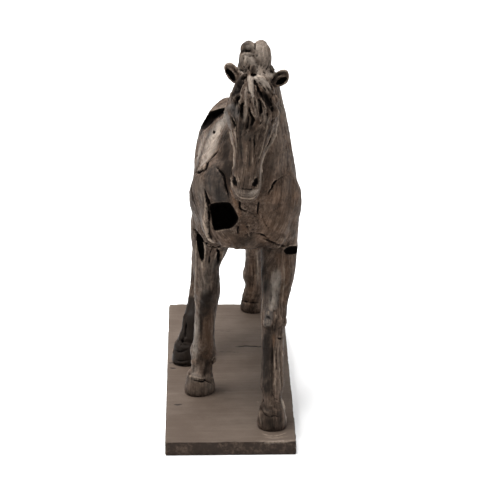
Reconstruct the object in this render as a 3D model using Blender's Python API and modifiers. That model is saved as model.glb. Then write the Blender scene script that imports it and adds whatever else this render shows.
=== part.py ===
"""Resin horse statue: a walking horse with a bound forelock, carved like weathered driftwood,
on a thin rectangular plinth. Metres, +Z up, the horse faces -Y, origin under the plinth's centre."""

import math

import bmesh
import bpy
import numpy as np
from mathutils import Matrix, Vector

# Driving dimensions, in metres
HORSE_HEIGHT = 0.520
PLINTH_THICKNESS = 0.020
PLINTH_FRONT_MARGIN = 0.030
PLINTH_BACK_MARGIN = 0.0055
PLINTH_LEFT_MARGIN = 0.014
PLINTH_RIGHT_MARGIN = 0.0055
PLINTH_EDGE_BEVEL = 0.0012
PLINTH_EDGE_WAVE = 0.0009
PLINTH_EDGE_STEP = 0.024
SEAT_GAP = 0.0003

# The figure is drawn on a grid 520 units tall, from the soles at 0 to the top of the topknot.
GRID_HEIGHT = 520.0
UNIT = HORSE_HEIGHT / GRID_HEIGHT

# The skin is built on that grid: voxel sizes in grid units, easing passes, final triangles
FLESH_VOXEL = 3.0
SKIN_VOXEL = 2.2
BODY_EASING_PASSES = 16
FLESH_EASING_PASSES = 6
SKIN_EASING_PASSES = 2
STROKE_STEP = 2.0
HORSE_TRIANGLES = 7800

# Stations of a limb: x, y, z of the centre, half width across, half depth in the limb's own plane,
# and how much wider the section is on its front or lower side
TRUNK = [
    (22, -150, 278, 34, 32, 0.0),
    (23, -138, 280, 58, 48, 0.0),
    (24, -114, 290, 71, 64, 0.05),
    (23, -76, 294, 72, 80, 0.12),
    (20, -36, 288, 65, 84, 0.2),
    (16, 10, 282, 62, 81, 0.24),
    (13, 55, 282, 61, 78, 0.22),
    (11, 100, 286, 58, 79, 0.18),
    (10, 145, 290, 55, 78, 0.15),
    (9, 183, 292, 46.5, 67, 0.15),
    (8, 211, 298, 31, 44, 0.1),
]
NECK = [
    (23, -74, 285, 68, 88, 0.0),
    (30, -80, 322, 66, 84, 0.0),
    (37, -84, 362, 52, 67, 0.0),
    (42, -88, 402, 39, 52, 0.0),
    (41, -95, 438, 31, 42, -0.05),
    (40, -107, 466, 25, 31, -0.1),
    (39, -122, 480, 19, 20, 0.0),
]
LEFT_FORELEG = [
    (64, -96, 270, 28, 38, 0),
    (70, -102, 240, 26, 32, 0),
    (68, -113, 214, 24, 26.5, 0),
    (65, -133, 186, 21.5, 21.5, 0),
    (62, -152, 162, 17.5, 17, 0),
    (60.5, -163, 146, 18.5, 18.5, 0),
    (58.5, -171, 127, 17, 15.5, 0),
    (56.5, -184, 96, 16.5, 14, 0),
    (55.5, -195, 71, 16, 14.5, 0),
    (55, -200, 56, 17.5, 17.5, 0),
    (54.5, -206, 41, 15, 15, 0),
    (54.5, -211, 26, 19, 18, 0),
]
RIGHT_FORELEG = [
    (-24, -80, 268, 25, 38, 0),
    (-29, -73, 238, 24, 33, 0),
    (-31, -71, 212, 21.5, 27, 0),
    (-31, -74, 186, 19.5, 21.5, 0),
    (-30, -79, 162, 18.5, 18, 0),
    (-30, -81, 145, 19, 18.5, 0),
    (-32, -82, 125, 16, 15.5, 0),
    (-34, -82, 97, 15, 14, 0),
    (-35, -82, 72, 16, 15, 0),
    (-36, -79, 57, 20, 19, 0),
    (-38, -82, 42, 16, 15.5, 0),
    (-40, -85, 27, 20, 19, 0),
]
LEFT_HINDLEG = [
    (36, 148, 286, 26, 52, 0),
    (42, 158, 250, 27, 54, 0),
    (45, 167, 217, 23, 43, 0),
    (45, 189, 184, 19.5, 28, 0),
    (43.5, 212, 154, 17, 20, 0),
    (43, 225, 136, 17, 20, 0),
    (43, 232, 114, 14.5, 15.5, 0),
    (43, 237, 88, 13.5, 13.5, 0),
    (42.5, 240, 66, 14.5, 15, 0),
    (42, 241, 56, 17, 17.5, 0),
    (43.5, 239, 41, 14, 14, 0),
    (42.5, 236, 27, 17, 17.5, 0),
]
RIGHT_HINDLEG = [
    (-13, 144, 284, 27, 52, 0),
    (-22, 128, 250, 26, 56, 0),
    (-28, 114, 214, 20.5, 44, 0),
    (-32, 111, 180, 17.5, 29, 0),
    (-35, 114, 148, 16, 21, 0),
    (-37, 109, 130, 16, 20, 0),
    (-42, 93, 107, 14, 15.5, 0),
    (-48, 73, 83, 13.5, 13.5, 0),
    (-54, 57, 63, 15, 15.5, 0),
    (-56, 49, 54, 17.5, 18, 0),
    (-58, 41, 41, 14.5, 14.5, 0),
    (-60, 34, 27, 18.5, 18, 0),
]
TAIL = [
    (9, 204, 336, 13, 15, 0),
    (9, 222, 330, 14, 16, 0),
    (9, 234, 310, 15, 16, 0),
    (9, 240, 282, 16, 15, 0),
    (8, 244, 245, 16, 14, 0),
    (7, 245, 200, 16, 13, 0),
    (6, 245, 160, 12, 11, 0),
    (5, 245, 130, 6, 6, 0),
]
# The mane lies on the right of the neck.
MANE = [
    (33, -104, 490, 9, 12, 0),
    (22, -84, 470, 9, 20, 0),
    (13, -68, 438, 10, 27, 0),
    (4, -62, 402, 10, 29, 0),
    (-8, -52, 366, 9, 25, 0),
    (-14, -30, 342, 7, 15, 0),
]
# Locks of the forelock on the head's own axes: across, out of the face, down, half width, half depth
FORELOCK = [
    [(1, 14, -6, 8, 6, 0), (0, 28, 14, 11, 6, 0), (-1, 35, 40, 9, 5, 0), (-4, 34, 70, 4, 3, 0)],
    [(10, 12, -4, 8, 6, 0), (17, 24, 16, 9, 5, 0), (20, 30, 40, 7, 5, 0), (15, 31, 68, 3.5, 3, 0)],
    [(-8, 12, -4, 8, 6, 0), (-18, 23, 16, 9, 5, 0), (-22, 28, 40, 7, 5, 0), (-18, 29, 66, 3.5, 3, 0)],
]
HOOF_TOP = 28.0
HOOF_SINK = 6.0
HOOF_TAPER = 0.82
# Hooves: centre of the sole x, y, half width, half length, and how far back the coronet lies
HOOVES = {
    "left_fore": (54.5, -215, 20.5, 21.5, 4),
    "right_fore": (-42, -86, 24, 22.5, 2),
    "left_hind": (41.5, 240, 19.5, 21, -3),
    "right_hind": (-62, 25, 21.5, 21.5, 8),
}
# The head is drawn upright: u to its left, v out of the face, w down from the poll.
HEAD = [
    (0, -8, -2, 20, 19, 0.0),
    (0, -3, 16, 26, 29, 0.0),
    (0, 0, 38, 30.5, 34, 0.1),
    (0, 0, 54, 32.5, 35, 0.15),
    (0, 0, 68, 29.5, 34, 0.2),
    (0, 3, 92, 23.5, 28, 0.2),
    (0, 4, 116, 19.5, 23, 0.1),
    (0, 4, 135, 20, 21, 0.0),
    (0, 2, 150, 21.5, 19.5, 0.0),
    (0, -1, 160, 19, 15, 0.0),
]
HEAD_PLACE = (38, -131, 476)
HEAD_PITCH = 17.0
HEAD_TILT = 5.0
HEAD_TURN = -4.0
# Raised forms on the head, in its own axes: the brows, the cheeks and the rims of the nostrils
HEAD_FORMS = [
    (25, 16, 34, 9, 11, 9, 0),
    (20, -20, 58, 15, 21, 25, 0),
    (13, 15, 147, 8, 7, 10, 0),
]
# Muscles and bones: x, y, z, three half axes, and a turn about X in degrees
MUSCLES = [
    (22, -136, 265, 62, 26, 36, 0),
    (55, -104, 286, 47, 42, 66, 22),
    (-6, -102, 286, 48, 42, 66, 22),
    (70, -100, 250, 28, 38, 34, -15),
    (-20, -84, 250, 28, 38, 34, -15),
    (-8, -80, 236, 14, 24, 24, 0),
    (36, 158, 276, 31, 52, 48, 12),
    (-14, 156, 272, 33, 52, 46, 12),
    (20, -20, 334, 20, 66, 42, 8),
]
TOPKNOT = [
    (27, -118, 494, 13.5, 20, 23, 0),
    (43, -114, 493, 14.5, 22, 24.5, 0),
    (37, -144, 481, 9, 9, 9, 0),
]
# Rotted hollows: x, y, z and three half axes
HOLLOWS = [
    (-6, -146, 279, 21, 32, 20),
    (-14, 112, 352, 24, 9, 14),
    (-44, -92, 226, 6, 8, 20),
    (82, -133, 226, 10, 12, 6),
]
# Carving: how far it reaches, how high it stands or how deep it goes, and the points it follows.
# First the plates of the breast and shoulders, then the face, the girth and flanks, the mane and the tail.
CARVING = [
    (9, -4.5, [(-13, -112, 362), (-31, -100, 339), (-44, -92, 328), (-53, -88, 314), (-50, -112, 288)]),
    (8, -3.5, [(-17, -126, 345), (-7, -144, 335), (-4, -151, 312)]),
    (9, -4.5, [(-35, -136, 318), (-29, -142, 300), (-32, -146, 268), (-36, -122, 236)]),
    (9, -4.5, [(88, -118, 338), (62, -147, 332), (52, -156, 308)]),
    (10, -4.5, [(97, -112, 248), (80, -142, 236), (54, -150, 242)]),
    (14, -4.0, [(20, -162, 300), (22, -164, 272), (22, -158, 246)]),
    (5, -3.5, [(4, -186, 332), (23, -192, 327), (43, -183, 330)]),
    (6, -5.5, [(9, -192, 348), (10, -190, 341)]),
    (6, -5.5, [(36, -193, 346), (38, -191, 340)]),
    (9, -5.0, [(4, -165, 424), (6, -170, 416)]),
    (9, -5.0, [(63, -156, 421), (61, -163, 413)]),
    (24, -5.0, [(66, 104, 314), (64, 98, 266), (58, 108, 228)]),
    (24, -5.0, [(-46, 98, 314), (-48, 74, 266), (-46, 66, 230)]),
    (26, -4.5, [(88, -50, 344), (90, -46, 290), (86, -54, 240)]),
    (26, -4.5, [(-46, -44, 344), (-50, -40, 290), (-46, -46, 240)]),
    (12, -3.5, [(9, 228, 352), (9, 190, 364), (11, 120, 368)]),
    (7, -4.5, [(30, -92, 484), (16, -82, 462), (4, -92, 440)]),
    (7, -4.5, [(32, -60, 462), (16, -62, 432), (2, -80, 412)]),
    (7, -4.5, [(26, -42, 424), (8, -48, 400), (-8, -72, 382)]),
    (7, -4.5, [(18, -30, 388), (-4, -38, 372), (-16, -62, 356)]),
    (6, -4.0, [(4, 250, 322), (2, 260, 282), (2, 262, 230), (3, 258, 165)]),
    (6, -4.0, [(17, 244, 318), (18, 252, 282), (18, 256, 230), (12, 256, 165)]),
    (6, -4.0, [(-5, 240, 318), (-7, 248, 282), (-8, 252, 230), (-2, 252, 165)]),
]
# The left ear on the head's own axes: its root, its tip, its half width and half thickness, and its cup
EAR_ROOT = (22, -8, 4)
EAR_TIP = (43, 0, -7)
EAR_ARCH = 2.0
EAR_HALF_WIDTH = 9.5
EAR_HALF_THICKNESS = 5.9
EAR_CUP = (8, -5.0, [(26, 2, 2), (41, 6, -6)])


def clear_scene():
    for old in list(bpy.data.objects):
        bpy.data.objects.remove(old)


def resin(name, colour, roughness):
    material = bpy.data.materials.new(name)
    material.use_nodes = True
    shader = material.node_tree.nodes["Principled BSDF"]
    shader.inputs["Base Color"].default_value = (*colour, 1.0)
    shader.inputs["Roughness"].default_value = roughness
    return material


def smooth_through(points, count):
    """Points on a Catmull-Rom curve through the given rows, any number of columns."""
    rows = np.array(points, float)
    rows = np.vstack([2 * rows[0] - rows[1], rows, 2 * rows[-1] - rows[-2]])
    spans = len(rows) - 3
    at = np.linspace(0, spans, count)
    index = np.minimum(at.astype(int), spans - 1)
    t = (at - index)[:, None]
    a, b, c, d = (rows[index + k] for k in range(4))
    return 0.5 * (2 * b + (c - a) * t + (2 * a - 5 * b + 4 * c - d) * t**2 + (3 * b - a - 3 * c + d) * t**3)


def limb(bm, stations, rings=40, sides=28, cap=0.7, place=Matrix.Identity(4)):
    """A closed tube of elliptical sections through the stations, with domed ends."""
    rows = smooth_through(stations, rings)
    tangent = np.gradient(rows[:, :3], axis=0)
    tangent /= np.linalg.norm(tangent, axis=1)[:, None]
    dome = np.sin(np.linspace(0, math.pi / 2, 5))[1:]
    sections = []
    for row, along in ((rows[0], -tangent[0]), (rows[-1], tangent[-1])):
        reach = cap * min(row[3], row[4])
        shrunk = [
            np.r_[row[:3] + along * reach * d, row[3:5] * math.sqrt(max(1 - d * d, 0.004)), row[5]]
            for d in dome
        ]
        sections.append(shrunk)
    rows = np.vstack([sections[0][::-1], rows, sections[1]])
    tangent = np.vstack([[tangent[0]] * len(dome), tangent, [tangent[-1]] * len(dome)])
    across = np.array([1.0, 0, 0]) - tangent * tangent[:, :1]
    across /= np.linalg.norm(across, axis=1)[:, None]
    forward = np.cross(tangent, across)
    turn = np.linspace(0, 2 * math.pi, sides, endpoint=False)
    loops = []
    for row, side, front in zip(rows, across, forward):
        width = row[3] * np.cos(turn) * (1 + row[5] * np.sin(turn))
        ring = row[:3] + np.outer(width, side) + np.outer(np.sin(turn) * row[4], front)
        loops.append([bm.verts.new(place @ Vector(p)) for p in ring])
    for low, high in zip(loops, loops[1:]):
        for k in range(sides):
            bm.faces.new((low[k], low[(k + 1) % sides], high[(k + 1) % sides], high[k]))
    bm.faces.new(loops[0][::-1])
    bm.faces.new(loops[-1])


def lump(bm, x, y, z, half_x, half_y, half_z, lean, place=Matrix.Identity(4)):
    """An ellipsoid, leaning about X by so many degrees."""
    pose = (
        Matrix.Translation((x, y, z))
        @ Matrix.Rotation(math.radians(lean), 4, "X")
        @ Matrix.Diagonal((half_x, half_y, half_z, 1))
    )
    bmesh.ops.create_uvsphere(bm, u_segments=20, v_segments=12, radius=1, matrix=place @ pose)


def hoof(bm, x, y, half_width, half_length, set_back):
    """A flared cone frustum from below the ground up to the coronet."""
    height = HOOF_TOP + HOOF_SINK
    footprint = Matrix.Diagonal((half_width, half_length, 1, 1))
    sole = Matrix.Translation((x, y, height / 2 - HOOF_SINK)) @ footprint
    made = bmesh.ops.create_cone(
        bm, cap_ends=True, segments=36, radius1=1.0, radius2=HOOF_TAPER, depth=height, matrix=sole
    )
    for vert in made["verts"]:
        if vert.co.z > 0:
            vert.co.y += set_back


def head_frame():
    """The head's own axes in the figure: u to +X, v to -Y, w to -Z, then pitched, tilted and turned."""
    upright = Matrix(((1, 0, 0, 0), (0, -1, 0, 0), (0, 0, -1, 0), (0, 0, 0, 1)))
    return (
        Matrix.Translation(HEAD_PLACE)
        @ Matrix.Rotation(math.radians(HEAD_TURN), 4, "Z")
        @ Matrix.Rotation(math.radians(HEAD_TILT), 4, "Y")
        @ Matrix.Rotation(math.radians(-HEAD_PITCH), 4, "X")
        @ upright
    )


def ear(bm, side, place):
    """A leaf-shaped cup that stands out sideways from the poll, widest before its middle."""
    root = np.array(EAR_ROOT) * (side, 1, 1)
    tip = np.array(EAR_TIP) * (side, 1, 1)
    stations = []
    for t in np.linspace(0, 1, 6):
        swell = math.sin(math.pi * (0.22 + 0.68 * t))
        x, y, z = root + (tip - root) * t
        arch = EAR_ARCH * math.sin(math.pi * t)
        stations.append((x, y, z + arch, EAR_HALF_WIDTH * swell, EAR_HALF_THICKNESS * swell, 0))
    limb(bm, stations, rings=14, sides=18, cap=0.8, place=place)


def as_object(name, bm):
    bmesh.ops.recalc_face_normals(bm, faces=bm.faces)
    mesh = bpy.data.meshes.new(name)
    bm.to_mesh(mesh)
    bm.free()
    made = bpy.data.objects.new(name, mesh)
    bpy.context.scene.collection.objects.link(made)
    return made


def voxel_skin(made, size, passes):
    skin = made.modifiers.new("skin", "REMESH")
    skin.mode = "VOXEL"
    skin.voxel_size = size
    ease = made.modifiers.new("ease", "SMOOTH")
    ease.factor = 0.5
    ease.iterations = passes


def evaluated_mesh(made):
    graph = bpy.context.evaluated_depsgraph_get()
    return bpy.data.meshes.new_from_object(made.evaluated_get(graph))


def carve(mesh, strokes):
    """Push the skin out or in along its normals near each stroke's path, fading to nothing at its reach."""
    count = len(mesh.vertices)
    skin = np.empty(count * 3)
    mesh.vertices.foreach_get("co", skin)
    skin = skin.reshape(-1, 3)
    normals = np.empty(count * 3, np.float32)
    mesh.vertex_normals.foreach_get("vector", normals)
    normals = normals.reshape(-1, 3)
    moved = np.zeros(count)
    for reach, height, path in strokes:
        near = np.full(count, np.inf)
        length = sum(math.dist(a, b) for a, b in zip(path, path[1:]))
        for point in smooth_through(path, 2 + int(length / STROKE_STEP)):
            seat = skin[np.argmin(np.linalg.norm(skin - point, axis=1))]
            near = np.minimum(near, np.linalg.norm(skin - seat, axis=1))
        moved += height * np.clip(1 - (near / reach) ** 2, 0, 1) ** 2
    mesh.vertices.foreach_set("co", (skin + normals * moved[:, None]).ravel())
    mesh.update()


def body():
    """Trunk and neck with the muscles that shape them, smoothed into one another."""
    bm = bmesh.new()
    limb(bm, TRUNK, rings=60, sides=40, cap=0.45)
    limb(bm, NECK, rings=50, sides=36)
    for muscle in MUSCLES:
        lump(bm, *muscle)
    made = as_object("body", bm)
    voxel_skin(made, FLESH_VOXEL, BODY_EASING_PASSES)
    return made


def flesh():
    """The body with its head and legs as one smooth mass."""
    inner = body()
    bm = bmesh.new()
    bm.from_mesh(evaluated_mesh(inner))
    bpy.data.objects.remove(inner)
    for leg in (LEFT_FORELEG, RIGHT_FORELEG, LEFT_HINDLEG, RIGHT_HINDLEG):
        limb(bm, leg, rings=70, cap=0.2)
    limb(bm, HEAD, rings=50, sides=32, cap=0.9, place=head_frame())
    for side in (-1, 1):
        for u, *rest in HEAD_FORMS:
            lump(bm, side * u, *rest, head_frame())
    made = as_object("flesh", bm)
    voxel_skin(made, FLESH_VOXEL, FLESH_EASING_PASSES)
    return made


def hollows():
    """The cutter of the rotted hollows, and of what would reach into the plinth or its seat gap."""
    bm = bmesh.new()
    for hollow in HOLLOWS:
        lump(bm, *hollow, 0)
    bm.transform(figure_to_world())
    width, length, middle_x, middle_y = plinth_size()
    seat = PLINTH_THICKNESS + SEAT_GAP
    block = Matrix.Translation((0, 0, seat / 2)) @ Matrix.Diagonal((width, length, seat, 1))
    bmesh.ops.create_cube(bm, size=1, matrix=block)
    made = as_object("hollows", bm)
    made.hide_render = True
    made.display_type = "WIRE"
    return made


def whole_skin():
    """The flesh with its hooves, ears, topknot, forelock, mane and tail, carved, in figure units."""
    soft = flesh()
    bm = bmesh.new()
    bm.from_mesh(evaluated_mesh(soft))
    bpy.data.objects.remove(soft)
    for place in HOOVES.values():
        hoof(bm, *place)
    for side in (-1, 1):
        ear(bm, side, head_frame())
    for knot in TOPKNOT:
        lump(bm, *knot)
    for lock in FORELOCK:
        limb(bm, lock, rings=20, sides=16, place=head_frame())
    limb(bm, MANE, rings=40, sides=20)
    limb(bm, TAIL, rings=40, sides=20)
    rough = as_object("rough", bm)
    voxel_skin(rough, SKIN_VOXEL, SKIN_EASING_PASSES)
    skin = evaluated_mesh(rough)
    bpy.data.objects.remove(rough)
    reach, height, path = EAR_CUP
    cups = [
        (reach, height, [head_frame() @ Vector((side * u, v, w)) for u, v, w in path])
        for side in (-1, 1)
    ]
    carve(skin, CARVING + cups)
    return skin


def horse(cutter):
    """The whole cast figure, thinned to large facets, hollowed and cut flat at its soles."""
    skin = whole_skin()
    skin.transform(figure_to_world())
    skin.calc_loop_triangles()
    made = bpy.data.objects.new("horse", skin)
    bpy.context.scene.collection.objects.link(made)
    thin = made.modifiers.new("thin", "DECIMATE")
    thin.ratio = min(1.0, HORSE_TRIANGLES / len(skin.loop_triangles))
    thin.use_collapse_triangulate = True
    cut = made.modifiers.new("cut", "BOOLEAN")
    cut.operation = "DIFFERENCE"
    cut.object = cutter
    return made


def plinth_size():
    """Width and length that carry all four hooves, and the plinth's centre in figure units."""
    places = list(HOOVES.values())
    left = max(x + half for x, y, half, long, back in places) * UNIT + PLINTH_LEFT_MARGIN
    right = min(x - half for x, y, half, long, back in places) * UNIT - PLINTH_RIGHT_MARGIN
    rear = max(y + long for x, y, half, long, back in places) * UNIT + PLINTH_BACK_MARGIN
    front = min(y - long for x, y, half, long, back in places) * UNIT - PLINTH_FRONT_MARGIN
    return left - right, rear - front, (left + right) / 2, (rear + front) / 2


def figure_to_world():
    """The figure stands on the plinth's top, and the world's origin is under the plinth's centre."""
    width, length, middle_x, middle_y = plinth_size()
    stand = (-middle_x, -middle_y, PLINTH_THICKNESS + SEAT_GAP)
    return Matrix.Translation(stand) @ Matrix.Scale(UNIT, 4)


def plinth():
    """A thin slab whose edges were worn uneven, with its top and underside flat."""
    width, length, middle_x, middle_y = plinth_size()
    bm = bmesh.new()
    size = (width - 2 * PLINTH_EDGE_WAVE, length - 2 * PLINTH_EDGE_WAVE, PLINTH_THICKNESS, 1)
    centre = Matrix.Translation((0, 0, PLINTH_THICKNESS / 2))
    bmesh.ops.create_cube(bm, size=1, matrix=centre @ Matrix.Diagonal(size))
    for axis, span in ((0, width), (1, length)):
        level = [e for e in bm.edges if abs(e.verts[0].co[axis] - e.verts[1].co[axis]) > span / 2]
        bmesh.ops.subdivide_edges(bm, edges=level, cuts=round(span / PLINTH_EDGE_STEP) - 1)
    for vert in bm.verts:
        x, y, z = vert.co
        across = 0.6 * math.sin(61 * y + 40 * z) + 0.4 * math.sin(143 * y + 1.3)
        ahead = 0.6 * math.sin(83 * x + 55 * z) + 0.4 * math.sin(190 * x + 0.7)
        vert.co.x += math.copysign(PLINTH_EDGE_WAVE, x) * across
        vert.co.y += math.copysign(PLINTH_EDGE_WAVE, y) * ahead
    made = as_object("plinth", bm)
    bevel = made.modifiers.new("bevel", "BEVEL")
    bevel.width = PLINTH_EDGE_BEVEL
    bevel.segments = 1
    bevel.angle_limit = math.radians(50)
    return made


def main():
    clear_scene()
    statue = bpy.data.collections.new("resin horse statue")
    bpy.context.scene.collection.children.link(statue)
    finishes = {
        "horse": resin("driftwood resin", (0.105, 0.083, 0.068), 0.55),
        "plinth": resin("plinth resin", (0.135, 0.105, 0.084), 0.7),
    }
    cutter = hollows()
    for made in (horse(cutter), plinth()):
        made.data.materials.clear()
        made.data.materials.append(finishes[made.name])
        bpy.context.scene.collection.objects.unlink(made)
        statue.objects.link(made)
    cutters = bpy.data.collections.new("cutters")
    bpy.context.scene.collection.children.link(cutters)
    bpy.context.scene.collection.objects.unlink(cutter)
    cutters.objects.link(cutter)


main()
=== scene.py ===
"""The looks of a resin horse statue: a walking horse, cast in resin from a carving of weathered
driftwood, on a thin plinth. The finished meshes are in metres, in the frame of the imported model."""

import math

import bmesh
import bpy
import numpy as np
from mathutils import Matrix, Vector
from mathutils.bvhtree import BVHTree


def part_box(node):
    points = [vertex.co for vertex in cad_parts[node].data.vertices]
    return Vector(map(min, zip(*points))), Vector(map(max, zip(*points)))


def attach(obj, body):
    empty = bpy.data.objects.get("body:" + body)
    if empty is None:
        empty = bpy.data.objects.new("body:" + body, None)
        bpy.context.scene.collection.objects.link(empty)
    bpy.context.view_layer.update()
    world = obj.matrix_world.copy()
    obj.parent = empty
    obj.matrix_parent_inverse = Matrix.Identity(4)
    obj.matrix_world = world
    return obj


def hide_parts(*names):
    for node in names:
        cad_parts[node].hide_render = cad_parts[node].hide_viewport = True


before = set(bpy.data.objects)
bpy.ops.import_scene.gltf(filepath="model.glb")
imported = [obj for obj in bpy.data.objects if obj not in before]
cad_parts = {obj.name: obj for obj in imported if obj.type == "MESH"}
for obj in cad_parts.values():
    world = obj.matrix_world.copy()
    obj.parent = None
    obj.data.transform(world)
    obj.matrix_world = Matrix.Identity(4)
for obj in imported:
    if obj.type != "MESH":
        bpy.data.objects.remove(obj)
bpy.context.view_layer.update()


# The camera stands in front of the horse and looks down on it, as the photograph was taken.
# Its place was worked out from the plinth's corners, in the photograph's frame of 500 by 500.
FRAME_SIZE = 500
CAMERA_PLACE = np.array((-0.0392, -3.1919, 1.3106))
CAMERA_DOWN = math.radians(19.167)
CAMERA_RIGHT = math.radians(1.274)
CAMERA_FAR = 50
LENS = 170.05
SENSOR = 36.0
FOCAL = LENS / SENSOR * FRAME_SIZE
FRAME_MIDDLE = FRAME_SIZE / 2
AHEAD = np.array(
    (
        math.sin(CAMERA_RIGHT) * math.cos(CAMERA_DOWN),
        math.cos(CAMERA_RIGHT) * math.cos(CAMERA_DOWN),
        -math.sin(CAMERA_DOWN),
    )
)
SIDEWAYS = np.array((math.cos(CAMERA_RIGHT), -math.sin(CAMERA_RIGHT), 0))
UPWARDS = np.cross(SIDEWAYS, AHEAD)


def link(name, data):
    made = bpy.data.objects.new(name, data)
    bpy.context.scene.collection.objects.link(made)
    return made


camera = link("camera", bpy.data.cameras.new("camera"))
camera.data.lens = LENS
camera.data.sensor_width = SENSOR
camera.data.clip_end = CAMERA_FAR
camera.location = CAMERA_PLACE
camera.rotation_euler = (math.pi / 2 - CAMERA_DOWN, 0, -CAMERA_RIGHT)
bpy.context.scene.camera = camera


def sight(x, y):
    """The direction from the camera through a point of the photograph's frame: ahead, plus the
    point's offset from the middle over the focal length, along the picture's right and up."""
    return AHEAD + SIDEWAYS * (x - FRAME_MIDDLE) / FOCAL - UPWARDS * (y - FRAME_MIDDLE) / FOCAL


def seen(tree, points):
    """Where points of the photograph's frame land on a surface, as rows of x, y, z."""
    hits = [tree.ray_cast(Vector(CAMERA_PLACE), Vector(sight(x, y)))[0] for x, y in points]
    return np.array([hit for hit in hits if hit is not None]).reshape(-1, 3)


# The plinth: one slab of cast resin with a sanded top, a rough dark edge, a few shrinkage cracks
# and chipped arrises. The figure's hooves are cast onto it.
SLAB_VOXEL = 0.0019
SLAB_ROUNDING = 1
STROKE_STEP = 0.0008
CRACK_DEPTH = 0.0012
ARRIS_REACH = 0.006
ARRIS_WEAR = 0.0004
SIDE_RUBBLE = 0.0007
SIDE_CHIPS = 0.0012
SAW_LINES = 0.00016
TOP_SWELL = 0.00025
SLAB_BUMP = 0.0009
SLAB_SHADE = {
    "top": (0.060, 0.0425, 0.0315),
    "worn": (0.092, 0.069, 0.0535),
    "edge": (0.024, 0.0155, 0.0110),
    "chip": (0.115, 0.080, 0.058),
    # dark specks, and painted shade in the cracks
    "dirt_and_crack_shade": (0.007, 0.005, 0.004),
    "scuff": (0.26, 0.205, 0.160),
}
# Cracks and bright scuffs: how far each reaches and how high it stands, in metres, or how strong it
# is, and then its points in the photograph
SLAB_CRACKS = [
    (0.0023, -0.0034, [(236, 346.6), (246, 346), (256, 346.4), (266, 347.4)]),
    (0.0022, -0.0028, [(165, 362.4), (169, 362.6), (173, 362.4)]),
    (0.0022, -0.0028, [(165, 368), (170, 367.6), (176, 368.4)]),
    (0.0018, -0.0018, [(174, 404.2), (178, 404.6), (182, 404)]),
    (0.0012, -0.0006, [(206, 330), (222, 331), (236, 332)]),
    (0.0012, -0.0006, [(214, 351), (232, 352), (248, 354)]),
]
SLAB_SCUFFS = [
    (0.0022, 1.0, [(261, 432.8), (266, 434.8), (272, 435.6), (279, 435.2), (286, 433)]),
    (0.0040, 0.7, [(256, 440.6), (268, 441.8), (281, 441.4), (294, 440.4)]),
    (0.0050, 0.5, [(264, 437), (276, 437.6), (288, 436.4)]),
    (0.0020, 0.6, [(257.4, 401), (258.4, 402.4)]),
]


def value_noise(points, seed):
    """Smooth noise between -1 and 1: a random value at each whole-number lattice corner, mixed
    between the eight corners of a point's cell with the weights 3t^2 - 2t^3."""
    base = np.floor(points).astype(np.int64)
    t = points - base
    t = t * t * (3 - 2 * t)
    total = np.zeros(len(points))
    for corner in np.ndindex(2, 2, 2):
        at = base + corner
        key = (at[:, 0] * 73856093) ^ (at[:, 1] * 19349663) ^ (at[:, 2] * 83492791) ^ (seed * 2654435)
        key = (key ^ (key >> 13)) * 1274126177
        random = ((key ^ (key >> 16)) & 65535) / 32767.5 - 1
        weight = np.prod(np.where(corner, t, 1 - t), axis=1)
        total += random * weight
    return total


def rough_noise(points, seed, octaves=3):
    """A sum of value noise at doubled frequencies and halved heights."""
    return sum(value_noise(points * 2**k, seed + k) / 2**k for k in range(octaves))


def drift(points, seed, noise=value_noise):
    """An offset in three directions, each a noise with a seed of its own."""
    return np.stack([noise(points, seed + k) for k in range(3)], axis=1)


def coordinates(mesh):
    co = np.empty(len(mesh.vertices) * 3, np.float32)
    mesh.vertices.foreach_get("co", co)
    return co.reshape(-1, 3).astype(float)


def normals(mesh):
    out = np.empty(len(mesh.vertices) * 3, np.float32)
    mesh.vertex_normals.foreach_get("vector", out)
    return out.reshape(-1, 3).astype(float)


def place_vertices(mesh, co):
    mesh.vertices.foreach_set("co", co.astype(np.float32).ravel())
    mesh.update()


def write_attribute(mesh, name, values):
    mesh.attributes.new(name, "FLOAT", "POINT").data.foreach_set("value", values.astype(np.float32))


def finished(made):
    """The object's mesh with its modifiers applied."""
    return bpy.data.meshes.new_from_object(made.evaluated_get(bpy.context.evaluated_depsgraph_get()))


def search_tree(co, mesh):
    """The mesh's faces over the given places of its vertices, for lines of sight to meet."""
    return BVHTree.FromPolygons(co.tolist(), [tuple(face.vertices) for face in mesh.polygons])


def smooth_shaded(mesh):
    mesh.polygons.foreach_set("use_smooth", np.ones(len(mesh.polygons), bool))


def voxel_skin(made, voxel, passes):
    """The object's shells as one skin of even small quads, eased by averaging neighbours."""
    skin = made.modifiers.new("skin", "REMESH")
    skin.mode = "VOXEL"
    skin.voxel_size = voxel
    ease = made.modifiers.new("ease", "SMOOTH")
    ease.factor = 0.5
    ease.iterations = passes
    mesh = finished(made)
    bpy.data.objects.remove(made)
    return mesh


def along(points, step):
    """Points every step along a Catmull-Rom curve through the given rows, with any more columns."""
    rows = np.array(points, float)
    length = np.linalg.norm(np.diff(rows[:, :3], axis=0), axis=1).sum()
    count = max(2, int(length / step) + 1)
    rows = np.vstack([2 * rows[0] - rows[1], rows, 2 * rows[-1] - rows[-2]])
    at = np.linspace(0, len(rows) - 3, count)
    index = np.minimum(at.astype(int), len(rows) - 4)
    t = (at - index)[:, None]
    a, b, c, d = (rows[index + k] for k in range(4))
    square, cube = 2 * a - 5 * b + 4 * c - d, 3 * b - a - 3 * c + d
    return 0.5 * (2 * b + (c - a) * t + square * t**2 + cube * t**3)


def near_path(co, path, reach):
    """For the rows of co within reach of a path: their numbers, their distance to it and which
    path point is the nearest."""
    low, high = path.min(axis=0) - reach, path.max(axis=0) + reach
    rows = np.flatnonzero(((co > low) & (co < high)).all(axis=1))
    away = np.linalg.norm(co[rows, None] - path[None], axis=2)
    nearest = away.argmin(axis=1)
    return rows, away[np.arange(len(rows)), nearest], nearest


WANDER = 0.22
FADE_SHARE = 0.25


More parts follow.
